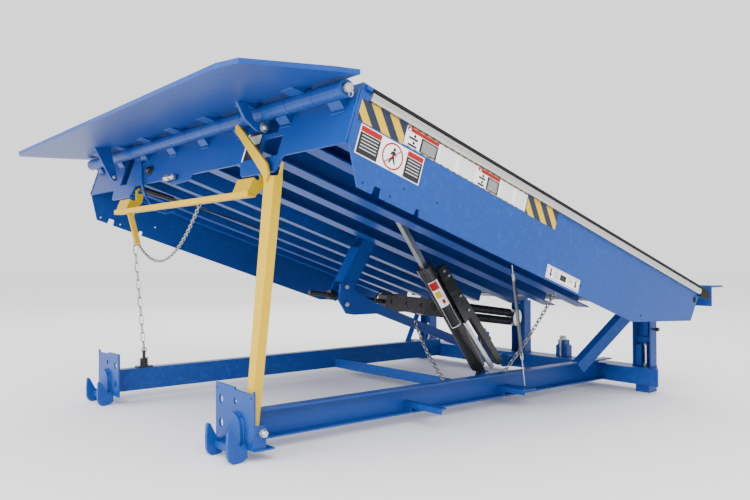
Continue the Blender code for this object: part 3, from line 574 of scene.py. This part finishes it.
def film(side, lift):
    """The two x levels of a vinyl film on one skirt."""
    level = HALF + lift
    return (level, level + VINYL) if side > 0 else (-level - VINYL, -level)


def patch(name, corners, side, finish, lift=GROUND_LIFT):
    """A thin vinyl piece on the outside of a skirt, from (u, v) corners of the deck."""
    outline = [(-u, v) for u, v in corners]
    low, high = film(side, lift)
    return slab(name, outline, low, high, "x", DECK, finish, "deck")


def clipped(polygon, left, right):
    """The part of a polygon between two u values."""
    for limit, keep in ((left, 1), (right, -1)):
        result = []
        for i, point in enumerate(polygon):
            after = polygon[(i + 1) % len(polygon)]
            inside, after_inside = (point[0] - limit) * keep >= 0, (after[0] - limit) * keep >= 0
            if inside:
                result.append(point)
            if inside != after_inside:
                share = (limit - point[0]) / (after[0] - point[0])
                result.append((limit, point[1] + (after[1] - point[1]) * share))
        polygon = result
        if not polygon:
            return []
    return polygon


def hazard(word, side, left, right, low, high):
    """A yellow ground with slanting dark bars, cut off at its two ends."""
    ground = [(left, low), (right, low), (right, high), (left, high)]
    patch(f"hazard_ground_{word}_{int(left * 1000)}", ground, side, YELLOW_INK)
    step, lean, number = 0.060, 0.050, 0
    start = left - lean
    while start < right:
        wide = start + step / 2
        shape = clipped([(start, low), (wide, low), (wide + lean, high), (start + lean, high)], left, right)
        if len(shape) > 2:
            patch(f"hazard_bar_{word}_{int(left * 1000)}_{number}", shape, side, NAVY_INK, BLOCK_LIFT)
        start += step
        number += 1


for word, side in SIDES:
    hazard(word, side, 1.536, 1.684, -0.030, 0.0245)
    hazard(word, side, 0.903, 1.046, -0.030, 0.0245)


def rectangle(u0, u1, v0, v1):
    """The four corners of a box in deck coordinates."""
    return [(u0, v0), (u1, v0), (u1, v1), (u0, v1)]


def disc(centre, radius, steps=28):
    """A closed circle of (u, v) points."""
    return [(centre[0] + radius * math.cos(t), centre[1] + radius * math.sin(t)) for t in circle(steps)]


def prohibition(name, centre, radius, side):
    """A plain walking figure in a red ring with a bar across: no lettering."""
    outer, inner = disc(centre, radius), disc(centre, radius * 0.88)
    work = bmesh.new()
    level = (HALF + 0.0010) * side
    thick = 0.0002 * side
    for i in range(len(outer)):
        j = (i + 1) % len(outer)
        quad = [outer[i], outer[j], inner[j], inner[i]]
        add_prism(work, [(-u, v) for u, v in quad], level, level + thick, "x")
    piece(f"{name}_ring", mesh_from(f"{name}_ring", work), DECK, RED_INK, "deck", 0)
    u, v = centre
    r = radius * 0.88
    bar = [(u - r * 0.66, v + r * 0.75), (u - r * 0.72, v + r * 0.69), (u + r * 0.66, v - r * 0.75),
           (u + r * 0.72, v - r * 0.69)]
    patch(f"{name}_bar", bar, side, RED_INK, 0.0011)
    head = disc((u - r * 0.05, v + r * 0.62), r * 0.14, 12)
    patch(f"{name}_head", head, side, BLACK_INK, MARK_LIFT)
    figure = [(u - r * 0.14, v + r * 0.45), (u + r * 0.12, v + r * 0.45), (u + r * 0.34, v + r * 0.10),
              (u + r * 0.24, v + r * 0.05), (u + r * 0.08, v + r * 0.20), (u + r * 0.10, v - r * 0.05),
              (u + r * 0.36, v - r * 0.62), (u + r * 0.22, v - r * 0.66), (u - r * 0.02, v - r * 0.20),
              (u - r * 0.30, v - r * 0.62), (u - r * 0.42, v - r * 0.55), (u - r * 0.16, v - r * 0.02),
              (u - r * 0.18, v + r * 0.20), (u - r * 0.34, v + r * 0.05), (u - r * 0.40, v + r * 0.14)]
    patch(f"{name}_figure", figure, side, BLACK_INK, MARK_LIFT)


def patches(name, outlines, side, finish, lift):
    """Several vinyl shapes on one skirt, as one piece."""
    low, high = film(side, lift)
    work = bmesh.new()
    for outline in outlines:
        add_prism(work, [(-u, v) for u, v in outline], low, high, "x")
    piece(name, mesh_from(name, work), DECK, finish, "deck", 0)


def warning_panel(name, u0, u1, side):
    """A red strip over a black block with pale lines, and two plain figures beside it: no lettering."""
    split = u0 + (u1 - u0) * 0.54
    patch(f"{name}_red", rectangle(u0, u1, 0.0125, 0.0222), side, RED_INK, BLOCK_LIFT)
    patch(f"{name}_black", rectangle(u0, split, -0.0255, 0.0110), side, BLACK_INK, BLOCK_LIFT)
    lines = [rectangle(u0 + 0.006, split - 0.006, v / 1000, v / 1000 + 0.0012) for v in range(-21, 8, 5)]
    patches(f"{name}_lines", lines, side, WHITE_INK, MARK_LIFT)
    middle, wide = (split + u1) / 2, (u1 - split) * 0.30
    figures = [rectangle(middle - wide, middle + wide, v, v + 0.0055) for v in (-0.0235, -0.0055)]
    heads = [disc((middle - wide * 0.2, v), 0.0042, 12) for v in (-0.0125, 0.0055)]
    patches(f"{name}_figures", figures + heads, side, BLACK_INK, BLOCK_LIFT)
    mark = [(u1 - 0.008, 0.0208), (u1 - 0.013, 0.0138), (u1 - 0.003, 0.0138)]
    patch(f"{name}_mark", mark, side, WHITE_INK, MARK_LIFT)


def label_a(word, side):
    """Two black panels under red heads, with the prohibition figure between them."""
    patch(f"label_a_{word}", rectangle(1.455, 1.668, -0.108, -0.034), side, WHITE_INK)
    for number, (u0, u1) in enumerate(((1.600, 1.665), (1.458, 1.512))):
        black, red = rectangle(u0, u1, -0.1055, -0.052), rectangle(u0, u1, -0.0505, -0.0365)
        patch(f"label_a_black_{word}_{number}", black, side, BLACK_INK, BLOCK_LIFT)
        patch(f"label_a_red_{word}_{number}", red, side, RED_INK, BLOCK_LIFT)
    prohibition(f"label_a_{word}", (1.5555, -0.0715), 0.034, side)


def label_a_lines(word, side):
    """Plain pale lines on the black panels."""
    for number, v in enumerate((-0.060, -0.068, -0.076, -0.084, -0.092)):
        for u0, u1 in ((1.606, 1.658), (1.464, 1.506)):
            name = f"label_a_line_{word}_{number}_{int(u0 * 1000)}"
            patch(name, rectangle(u0, u1, v, v + 0.0022), side, GREY_INK, MARK_LIFT)


def label_b(word, side):
    """A long white strip with two warning panels and four panels of plain lines, edged in yellow."""
    left, right = 1.050, 1.533
    patch(f"label_b_{word}", rectangle(left, right, LABEL_B_LOW, LABEL_B_HIGH), side, WHITE_INK)
    for number, (u0, u1) in enumerate(((1.419, 1.531), (1.173, 1.264))):
        warning_panel(f"label_b_warning_{word}_{number}", u0, u1, side)
    for number, (u0, u1) in enumerate(((1.346, 1.415), (1.268, 1.342), (1.109, 1.169), (1.052, 1.105))):
        lines = [rectangle(u0 + 0.005, u1 - 0.005, v / 1000, v / 1000 + 0.0010) for v in range(-24, 20, 3)]
        patches(f"label_b_lines_{word}_{number}", lines, side, GREY_INK, BLOCK_LIFT)
    for number, v in enumerate((LABEL_B_LOW, 0.0228)):
        top = v + LABEL_B_TRIM
        dashes = [rectangle(1.054 + i * 0.024, 1.066 + i * 0.024, v, top) for i in range(20)]
        patches(f"label_b_dashes_{word}_{number}", dashes, side, NAVY_INK, MARK_LIFT)
        patch(f"label_b_border_{word}_{number}", rectangle(left, right, v, top), side, YELLOW_INK, BLOCK_LIFT)


def label_c(word, side):
    """A small framed label with an arrow at each end."""
    patch(f"label_c_{word}", rectangle(0.737, 0.903, -0.177, -0.137), side, WHITE_INK)
    edges = ((0.740, 0.900, -0.1745, -0.1730), (0.740, 0.900, -0.1410, -0.1395),
             (0.740, 0.7415, -0.1730, -0.1410), (0.8985, 0.900, -0.1730, -0.1410))
    for number, edge in enumerate(edges):
        patch(f"label_c_frame_{word}_{number}", rectangle(*edge), side, RED_INK, BLOCK_LIFT)
    for number, u in enumerate((0.882, 0.757)):
        arrow = [(u - 0.003, -0.144), (u + 0.003, -0.144), (u + 0.003, -0.160), (u + 0.007, -0.160),
                 (u, -0.170), (u - 0.007, -0.160), (u - 0.003, -0.160)]
        patch(f"label_c_arrow_{word}_{number}", arrow, side, BLACK_INK, BLOCK_LIFT)
    blocks = ((0.842, 0.868, -0.168, -0.146, GREY_INK), (0.806, 0.836, -0.166, -0.148, BLACK_INK),
              (0.772, 0.798, -0.160, -0.146, GREY_INK))
    for number, (*corners, ink) in enumerate(blocks):
        patch(f"label_c_block_{word}_{number}", rectangle(*corners), side, ink, BLOCK_LIFT)


for word, side in SIDES:
    label_a(word, side)
    label_b(word, side)
    label_a_lines(word, side)
    label_c(word, side)


def wrap(name, low, high, start, end, finish, lift):
    """A label bent round the hold-down's tube, between two lengths and two angles."""
    work = bmesh.new()
    steps, inner, outer = 10, 0.0276 + lift, 0.0279 + lift
    rings = []
    for i in range(steps + 1):
        turn = math.radians(start + (end - start) * i / steps)
        rings.append([work.verts.new((r * math.cos(turn), y, r * math.sin(turn)))
                      for r, y in ((inner, low), (outer, low), (outer, high), (inner, high))])
    for near, far in zip(rings, rings[1:]):
        for k in range(4):
            m = (k + 1) % 4
            work.faces.new([near[k], near[m], far[m], far[k]])
    work.faces.new(rings[0])
    work.faces.new(list(reversed(rings[-1])))
    piece(name, mesh_from(name, work), HOLD, finish, "hold_down", 30)


wrap("tube_label", -0.455, -0.250, -75, 5, WHITE_INK, 0.0)
wrap("tube_label_red", -0.452, -0.420, -72, -10, RED_INK, 0.0005)
wrap("tube_label_yellow", -0.412, -0.385, -66, -22, YELLOW_INK, 0.0005)
wrap("tube_label_black", -0.345, -0.253, -72, 2, BLACK_INK, 0.0005)
wrap("tube_label_mark", -0.375, -0.358, -40, -18, RED_INK, 0.0005)


# ---- bolts, nuts and pins -------------------------------------------------------------------------
bolt("strut_bolt_head", at(0.6048, 0.024, 0.047), OUT, 0.0185, "frame", washer=False)
for number, z in enumerate((0.396, 0.330)):
    bolt(f"knee_bolt_{number}", at(0.0565, 0.704, z), OUT, 0.0150, "lower_arm", washer=False)
for number, (y, z) in enumerate(((-0.452, 0.052), (-0.425, 0.062), (-0.330, 0.066), (-0.262, 0.068))):
    bolt(f"hold_down_bolt_{number}", HOLD @ Vector((0.0212, y, z)), OUT, 0.0095, "hold_down", washer=False)
bolt("hold_down_pin_head", at(0.3815, 1.120, 0.060), OUT, 0.0150, "frame")


def lip_pin_head(word, side):
    """The flat hexagon end of the lip's pin, with its split ring."""
    end = on_deck(side * 0.9105, LIP_U, LIP_V)
    work = bmesh.new()
    add_hex(work, facing(end, OUT * side), 0.0205, 0.0045)
    ring_at = facing(end + Vector((side * 0.0025, 0.004, -0.014)), FRONT)
    loop = [ring_at @ Vector((0.008 * math.cos(t), 0.008 * math.sin(t), 0)) for t in circle(16)]
    add_tube(work, loop, 0.0011, 6, True)
    placed(f"lip_pin_head_{word}", work, ZINC, "deck", 30)


def jack(word, side):
    """A threaded levelling stud with its nut, on the rear cross-member."""
    nut = at(side * 0.240, 1.780, 0.1505)
    bolt(f"jack_nut_{word}", nut - Vector((0, 0, 0.012)), UP, 0.0220, "frame", washer=True)
    work = bmesh.new()
    centre = at(side * 0.240, 1.758, 0.0)
    add_tube(work, [centre + Vector((0, 0, z)) for z in (0.068, 0.100, 0.140, 0.158)], 0.0055, 12)
    placed(f"jack_stud_{word}", work, ZINC, "frame")
    upright = Matrix.Translation(centre) @ Matrix.Rotation(math.radians(90), 4, "X")
    thread(f"jack_thread_{word}", upright, 0.0056, 0.0026, 0.072, 0.156, "frame", ZINC)


def post_fittings(name, x):
    """A bolt with two nuts inside a rear post, three small nuts, and the plates behind them."""
    work = bmesh.new()
    foot = at(x + 0.008, 1.772, 0.0)
    add_tube(work, [foot + Vector((0, 0, z)) for z in (0.072, 0.100, 0.130, 0.158)], 0.0060, 12)
    add_hex(work, Matrix.Translation(foot + Vector((0, 0, 0.0665))), 0.019, 0.011)
    add_hex(work, Matrix.Translation(foot + Vector((0, 0, 0.150))), 0.017, 0.008)
    placed(f"post_bolt_{name}", work, ZINC, "frame", 30)
    work = bmesh.new()
    foot = at(x + 0.004, 1.770, 0.0)
    for dx, dz in ((-0.006, 0.268), (0.006, 0.272), (0.0, 0.262)):
        add_hex(work, facing(foot + Vector((dx, -0.006, dz)), FRONT), 0.010, 0.008)
    placed(f"post_nuts_{name}", work, ZINC, "frame", 30)
    wall = 0.0345
    strip = (-0.004, 0.186), (0.017, 0.192), (0.017, 0.258), (-0.004, 0.258)
    box = (-wall, 0.066), (-0.0095, 0.066), (-0.0095, 0.152), (-wall, 0.150)
    shelf = (-wall, 0.156), (wall, 0.162), (wall, 0.180), (-wall, 0.184)
    rib = (0.0180, 0.104), (wall, 0.106), (wall, 0.111), (0.0180, 0.110)
    plates = (("strip", strip, 1.772, 1.777, 0.001), ("box", box, 1.766, 1.790, 0.001),
              ("shelf", shelf, 1.784, 1.792, 0.001), ("rib", rib, 1.766, 1.790, 0.0006))
    for word, corners, front, rear, round_by in plates:
        outline = [(x + dx, z) for dx, z in corners]
        slab(f"post_{word}_{name}", outline, front, rear, "y", BASE, BLUE, "frame", round_by)


for word, side in SIDES:
    lip_pin_head(word, side)
    jack(word, side)
for word, x in POSTS:
    post_fittings(word, x)
work = bmesh.new()
add_lathe(work, [(0.0, 0.004), (0.010, 0.004), (0.011, 0.008), (0.022, 0.0085), (0.025, 0.006)],
          facing(at(0.6805, 1.772, 0.216), OUT), 20)
placed("post_knob", work, BLACK, "frame", 40)


# ---- furniture of the header, the lip and the skirts ------------------------------------------------
def header_adjuster():
    """A bracket under the header with a plated bolt and its three nuts, on a small foot."""
    outline = [(-0.085, -0.089), (0.085, -0.089), (0.072, -0.112), (-0.060, -0.118), (-0.078, -0.104)]
    slab("header_bracket", outline, -HEADER_FACE + 0.001, -HEADER_FACE + 0.005, "y", DECK, BLUE, "deck",
         0.0008)
    u, v = 1.707, -0.0955
    work = bmesh.new()
    shank = [(-0.036, 0.0062), (0.030, 0.0062), (0.032, 0.0050)]
    add_lathe(work, shank, facing(on_deck(-0.054, u, v), OUT), 14)
    for x in (-0.090, -0.074, -0.036):
        add_hex(work, facing(on_deck(x, u, v), OUT), 0.020, 0.011)
    placed("header_adjuster", work, ZINC, "deck", 30)
    foot = [(-0.098, -0.086), (-0.020, -0.086), (-0.020, -0.089), (-0.098, -0.089)]
    slab("header_adjuster_foot", foot, -1.7135, -HEADER_FACE - 0.0002, "y", DECK, BLUE, "deck",
         0.0006)


def pull_rod():
    """A bent rod that starts on the header's front and hooks back under the deck."""
    bends = ((-0.381, 1.698, 0.002), (-0.379, 1.704, -0.006), (-0.345, 1.703, -0.045),
             (-0.314, 1.702, -0.088), (-0.300, 1.694, -0.116), (-0.300, 1.674, -0.140),
             (-0.300, 1.628, -0.170), (-0.300, 1.590, -0.166), (-0.300, 1.560, -0.146))
    work = bmesh.new()
    add_tube(work, [on_deck(*bend) for bend in bends], 0.0050, 10)
    placed("header_pull_rod", work, BLUE, "deck", 60)


def lip_assist():
    """A black body, a coil and a thin rod that run back under the deck, and the plate that holds them."""
    x = -0.342
    body = ((1.672, -0.106), (1.640, -0.104), (1.580, -0.100))
    rod = ((1.580, -0.100), (1.470, -0.092), (1.330, -0.086), (1.160, -0.080))
    work = bmesh.new()
    add_tube(work, [on_deck(x, u, v) for u, v in body], 0.0105, 14)
    add_tube(work, [on_deck(x, u, v) for u, v in rod], 0.0036, 8)
    placed("assist_rod", work, BLACK, "deck", 40)
    start = on_deck(x, 1.560, -0.0985)
    run = (on_deck(x, 1.430, -0.0895) - start).normalized()
    place = facing(start, run) @ Matrix.Rotation(math.radians(90), 4, "X")
    coil("assist_spring", place, 0.0080, 0.0034, 0.0, -0.130, 30, "deck", BLACK)
    plate = [(x - 0.010, -0.060), (x + 0.010, -0.060), (x + 0.010, -0.089), (x - 0.010, -0.089)]
    slab("assist_plate", plate, -1.165, -1.160, "y", DECK, BLUE, "deck", 0.0006)


def header_plate():
    """A small generic label on the header's front, behind the strut's finger."""
    for word, x0, x1, v0, v1, lift, ink in (("dark", 0.413, 0.489, -0.086, -0.004, 0.0002, BLACK_INK),
                                            ("lines", 0.418, 0.484, -0.040, -0.012, 0.0007, GREY_INK),
                                            ("white", 0.405, 0.413, -0.088, -0.002, 0.0002, WHITE_INK),
                                            ("red", 0.418, 0.440, -0.010, -0.0045, 0.0007, RED_INK)):
        thick = 0.0004 if lift < 0.0005 else 0.0003
        low, high = -HEADER_FACE - lift - thick, -HEADER_FACE - lift
        outline = rectangle(x0, x1, v0, v1)
        slab(f"header_plate_{word}", outline, low, high, "y", DECK, ink, "deck")


header_adjuster()
bolt("header_black_bolt", on_deck(-0.290, HEADER_FACE + 0.0005, -0.0425),
     Vector((0, -math.cos(TILT), math.sin(TILT))), 0.022, "deck", BLACK)
pull_rod()
lip_assist()
header_plate()
for word, side in SIDES:
    work = bmesh.new()
    plug = [(-0.0035, 0.0112), (0.0008, 0.0112), (0.0014, 0.0100)]
    add_lathe(work, plug, facing(on_deck(side * HALF, 0.052, 0.0), OUT * side), 20)
    placed(f"skirt_plug_{word}", work, RUBBER, "deck", 35)
bolt("lug_pin", LIP @ Vector((0.5265, -0.004, -0.0395)), OUT, 0.0150, "lip", washer=True)
bolt("lever_pin", LIP @ Vector((-0.5325, -0.044, -0.084)), OUT, 0.0130, "lip", washer=False)
work = bmesh.new()
add_tube(work, [on_deck(0.9210, u, 0.052) for u in (1.668, 1.674, 1.684)], 0.0058, 14)
placed("seal_end_tube", work, BLUE, "deck", 60)


# ---- the snubber's eye and spring, and the yoke's pins and hook --------------------------------------
work = bmesh.new()
eye = facing(at(-0.492, 0.138, 0.152), OUT)
loop = [eye @ Vector((0.010 * math.cos(t), 0.010 * math.sin(t), 0)) for t in circle(18)]
add_tube(work, loop, 0.0022, 8, True)
placed("snubber_eye", work, ZINC, "frame", 60)
work = bmesh.new()
for z in (0.095, 0.103, 0.111, 0.119):
    centre = at(-0.492, 0.138, z)
    loop = [centre + Vector((0.0150 * math.cos(t), 0.0150 * math.sin(t), 0.002 * math.sin(t)))
            for t in circle(20)]
    add_tube(work, loop, 0.0022, 6, True)
placed("snubber_coils", work, BLACK, "frame", 60)

work = bmesh.new()
for y in (-0.780, -0.700, -0.620, -0.540):
    add_lathe(work, [(-0.031, 0.0085), (-0.027, 0.0095), (0.027, 0.0095), (0.031, 0.0085)],
              SPRING @ facing(Vector((0, y, 0.002)), OUT), 16)
placed("yoke_pins", work, BLACK, "springs", 35)
work = bmesh.new()
hook = ((-0.780, 0.030), (-0.810, 0.040), (-0.845, 0.040), (-0.868, 0.022), (-0.874, -0.004),
        (-0.864, -0.030), (-0.848, -0.042), (-0.834, -0.040))
add_tube(work, [SPRING @ Vector((0.029, y, z)) for y, z in hook], 0.0038, 8)
placed("yoke_hook", work, BLACK, "springs", 60)


# ---- weld beads -----------------------------------------------------------------------------------
def bead(name, points, body, place, size=0.0028):
    """A rippled fillet weld along a line, painted over."""
    points = [place @ Vector(p) for p in points]
    path = []
    for start, end in zip(points, points[1:]):
        steps = max(2, int((end - start).length / 0.0035))
        path += [start.lerp(end, i / steps) for i in range(steps)]
    path.append(points[-1])
    work = bmesh.new()
    rings = []
    for i, point in enumerate(path):
        ahead, behind = path[min(i + 1, len(path) - 1)], path[max(i - 1, 0)]
        along = (ahead - behind).normalized()
        side = along.orthogonal().normalized()
        other = along.cross(side)
        radius = size * (1.0 + 0.16 * math.sin(i * 2.1) + 0.08 * math.sin(i * 0.7))
        rings.append([work.verts.new(point + side * (radius * math.cos(t)) + other * (radius * math.sin(t)))
                      for t in circle(6)])
    for near, far in zip(rings, rings[1:]):
        for k in range(6):
            m = (k + 1) % 6
            work.faces.new([near[k], near[m], far[m], far[k]])
    work.faces.new(list(reversed(rings[0])))
    work.faces.new(rings[-1])
    placed(name, work, BLUE, body, 70)


def frame_welds(word, side):
    """The beads of one half of the frame, and the one between the header and its skirt."""
    arc = [math.pi * i / 14 for i in range(15)]
    boss = [(side * (0.504 + 0.0425 * math.cos(t)), -0.0015, 0.049 + 0.0425 * math.sin(t)) for t in arc]
    foot = (side * 0.5465, -0.0015, 0.006), (side * 0.4615, -0.0015, 0.006)
    bead(f"boss_weld_{word}", [foot[0], *boss, foot[1]], "frame", BASE, 0.0026)
    front = ((0.5105, 0.0078, 0.0875), (0.4695, 0.0078, 0.0875), (0.4695, 0.0078, 0.006))
    rear = ((0.470, 1.6992, 0.0665), (0.512, 1.6992, 0.0665))
    brace = ((0.5125, 1.502, 0.0865), (0.5125, 1.550, 0.0865))
    middle = ((0.4692, 1.0295, 0.045), (0.4692, 1.0295, 0.012), (0.4692, 1.080, 0.0115))
    skirt = ((0.9075, -1.6935, -0.088), (0.9075, -1.6935, 0.050))
    for name, points, body, place, size in (("rail_front_weld", front, "frame", BASE, 0.0028),
                                            ("rail_rear_weld", rear, "frame", BASE, 0.0028),
                                            ("brace_low_weld", brace, "frame", BASE, 0.0022),
                                            ("mid_weld", middle, "frame", BASE, 0.0028),
                                            ("header_skirt_weld", skirt, "deck", DECK, 0.0024)):
        bead(f"{name}_{word}", [(side * x, y, z) for x, y, z in points], body, place, size)


for word, side in SIDES:
    frame_welds(word, side)
for number, x in enumerate((0.640, 0.0, -0.640)):
    edge = 0.0405
    near, far = (x - edge, 1.752, 0.0660), (x - edge, 1.7985, 0.0660)
    bead(f"post_weld_{number}", [near, far], "frame", BASE)
    near, far = (x + edge, 1.752, 0.0660), (x + edge, 1.7985, 0.0660)
    bead(f"post_weld_far_{number}", [far, near], "frame", BASE)
KNUCKLES, KNUCKLE_END, KNUCKLE_BEAD = 15, 0.902, 0.029
for number in range(KNUCKLES):
    length = 2 * KNUCKLE_END / KNUCKLES
    middle = -KNUCKLE_END + length * (number + 0.5)
    y, z, body, place = (-0.0505, 0.0255, "lip", LIP) if number % 2 else (-1.6940, -0.0068, "deck", DECK)
    points = [(middle - KNUCKLE_BEAD, y, z), (middle + KNUCKLE_BEAD, y, z)]
    bead(f"knuckle_weld_{number}", points, body, place, 0.0022)
for number, x in enumerate((0.055, 0.245, 0.416, 0.630, 0.770, -0.130, -0.300, -0.480, -0.650, -0.800)):
    lean = 0.0026 if x > 0 else -0.0026
    points = [(x - lean, -1.6855, 0.052), (x - lean, -1.6855, -0.050)]
    bead(f"beam_weld_{number}", points, "deck", DECK, 0.0022)


# ---- floor, light and world -----------------------------------------------------------------------
def stage():
    """A pale floor, a white sky and three soft lamps."""
    work = bmesh.new()
    half = 30.0
    corners = ((-half, -half, 0), (half, -half, 0), (half, half, 0), (-half, half, 0))
    work.faces.new([work.verts.new(corner) for corner in corners])
    floor_mesh = mesh_from("floor", work)
    floor = bpy.data.objects.new("floor", floor_mesh)
    floor.location = (0, 0, cad_box[0][2] - 0.0005)
    floor_mesh.materials.append(shader_of("floor_paint", (0.97, 0.97, 0.97), 0.85)[0])
    bpy.context.scene.collection.objects.link(floor)
    world = bpy.data.worlds.new("studio")
    world.use_nodes = True
    world.node_tree.nodes["Background"].inputs["Color"].default_value = (1.0, 1.0, 1.0, 1)
    world.node_tree.nodes["Background"].inputs["Strength"].default_value = 1.55
    bpy.context.scene.world = world
    for name, where, aim, size, power in (("key", (4.2, -2.6, 3.6), (0, 0, 0.5), 3.2, 260),
                                          ("front", (0.6, -5.0, 1.6), (0, -0.6, 0.4), 3.0, 190),
                                          ("rim", (-3.5, 2.5, 3.5), (0, 0, 0.6), 3.0, 90)):
        data = bpy.data.lights.new(name, "AREA")
        data.energy, data.size = power, size
        lamp = bpy.data.objects.new(name, data)
        lamp.location = where
        lamp.rotation_euler = (Vector(aim) - Vector(where)).to_track_quat("-Z", "Y").to_euler()
        bpy.context.scene.collection.objects.link(lamp)


stage()

print("chain lengths", [round(length, 3) for length in (rail_length, lift_length, snub_length, hang_length)])
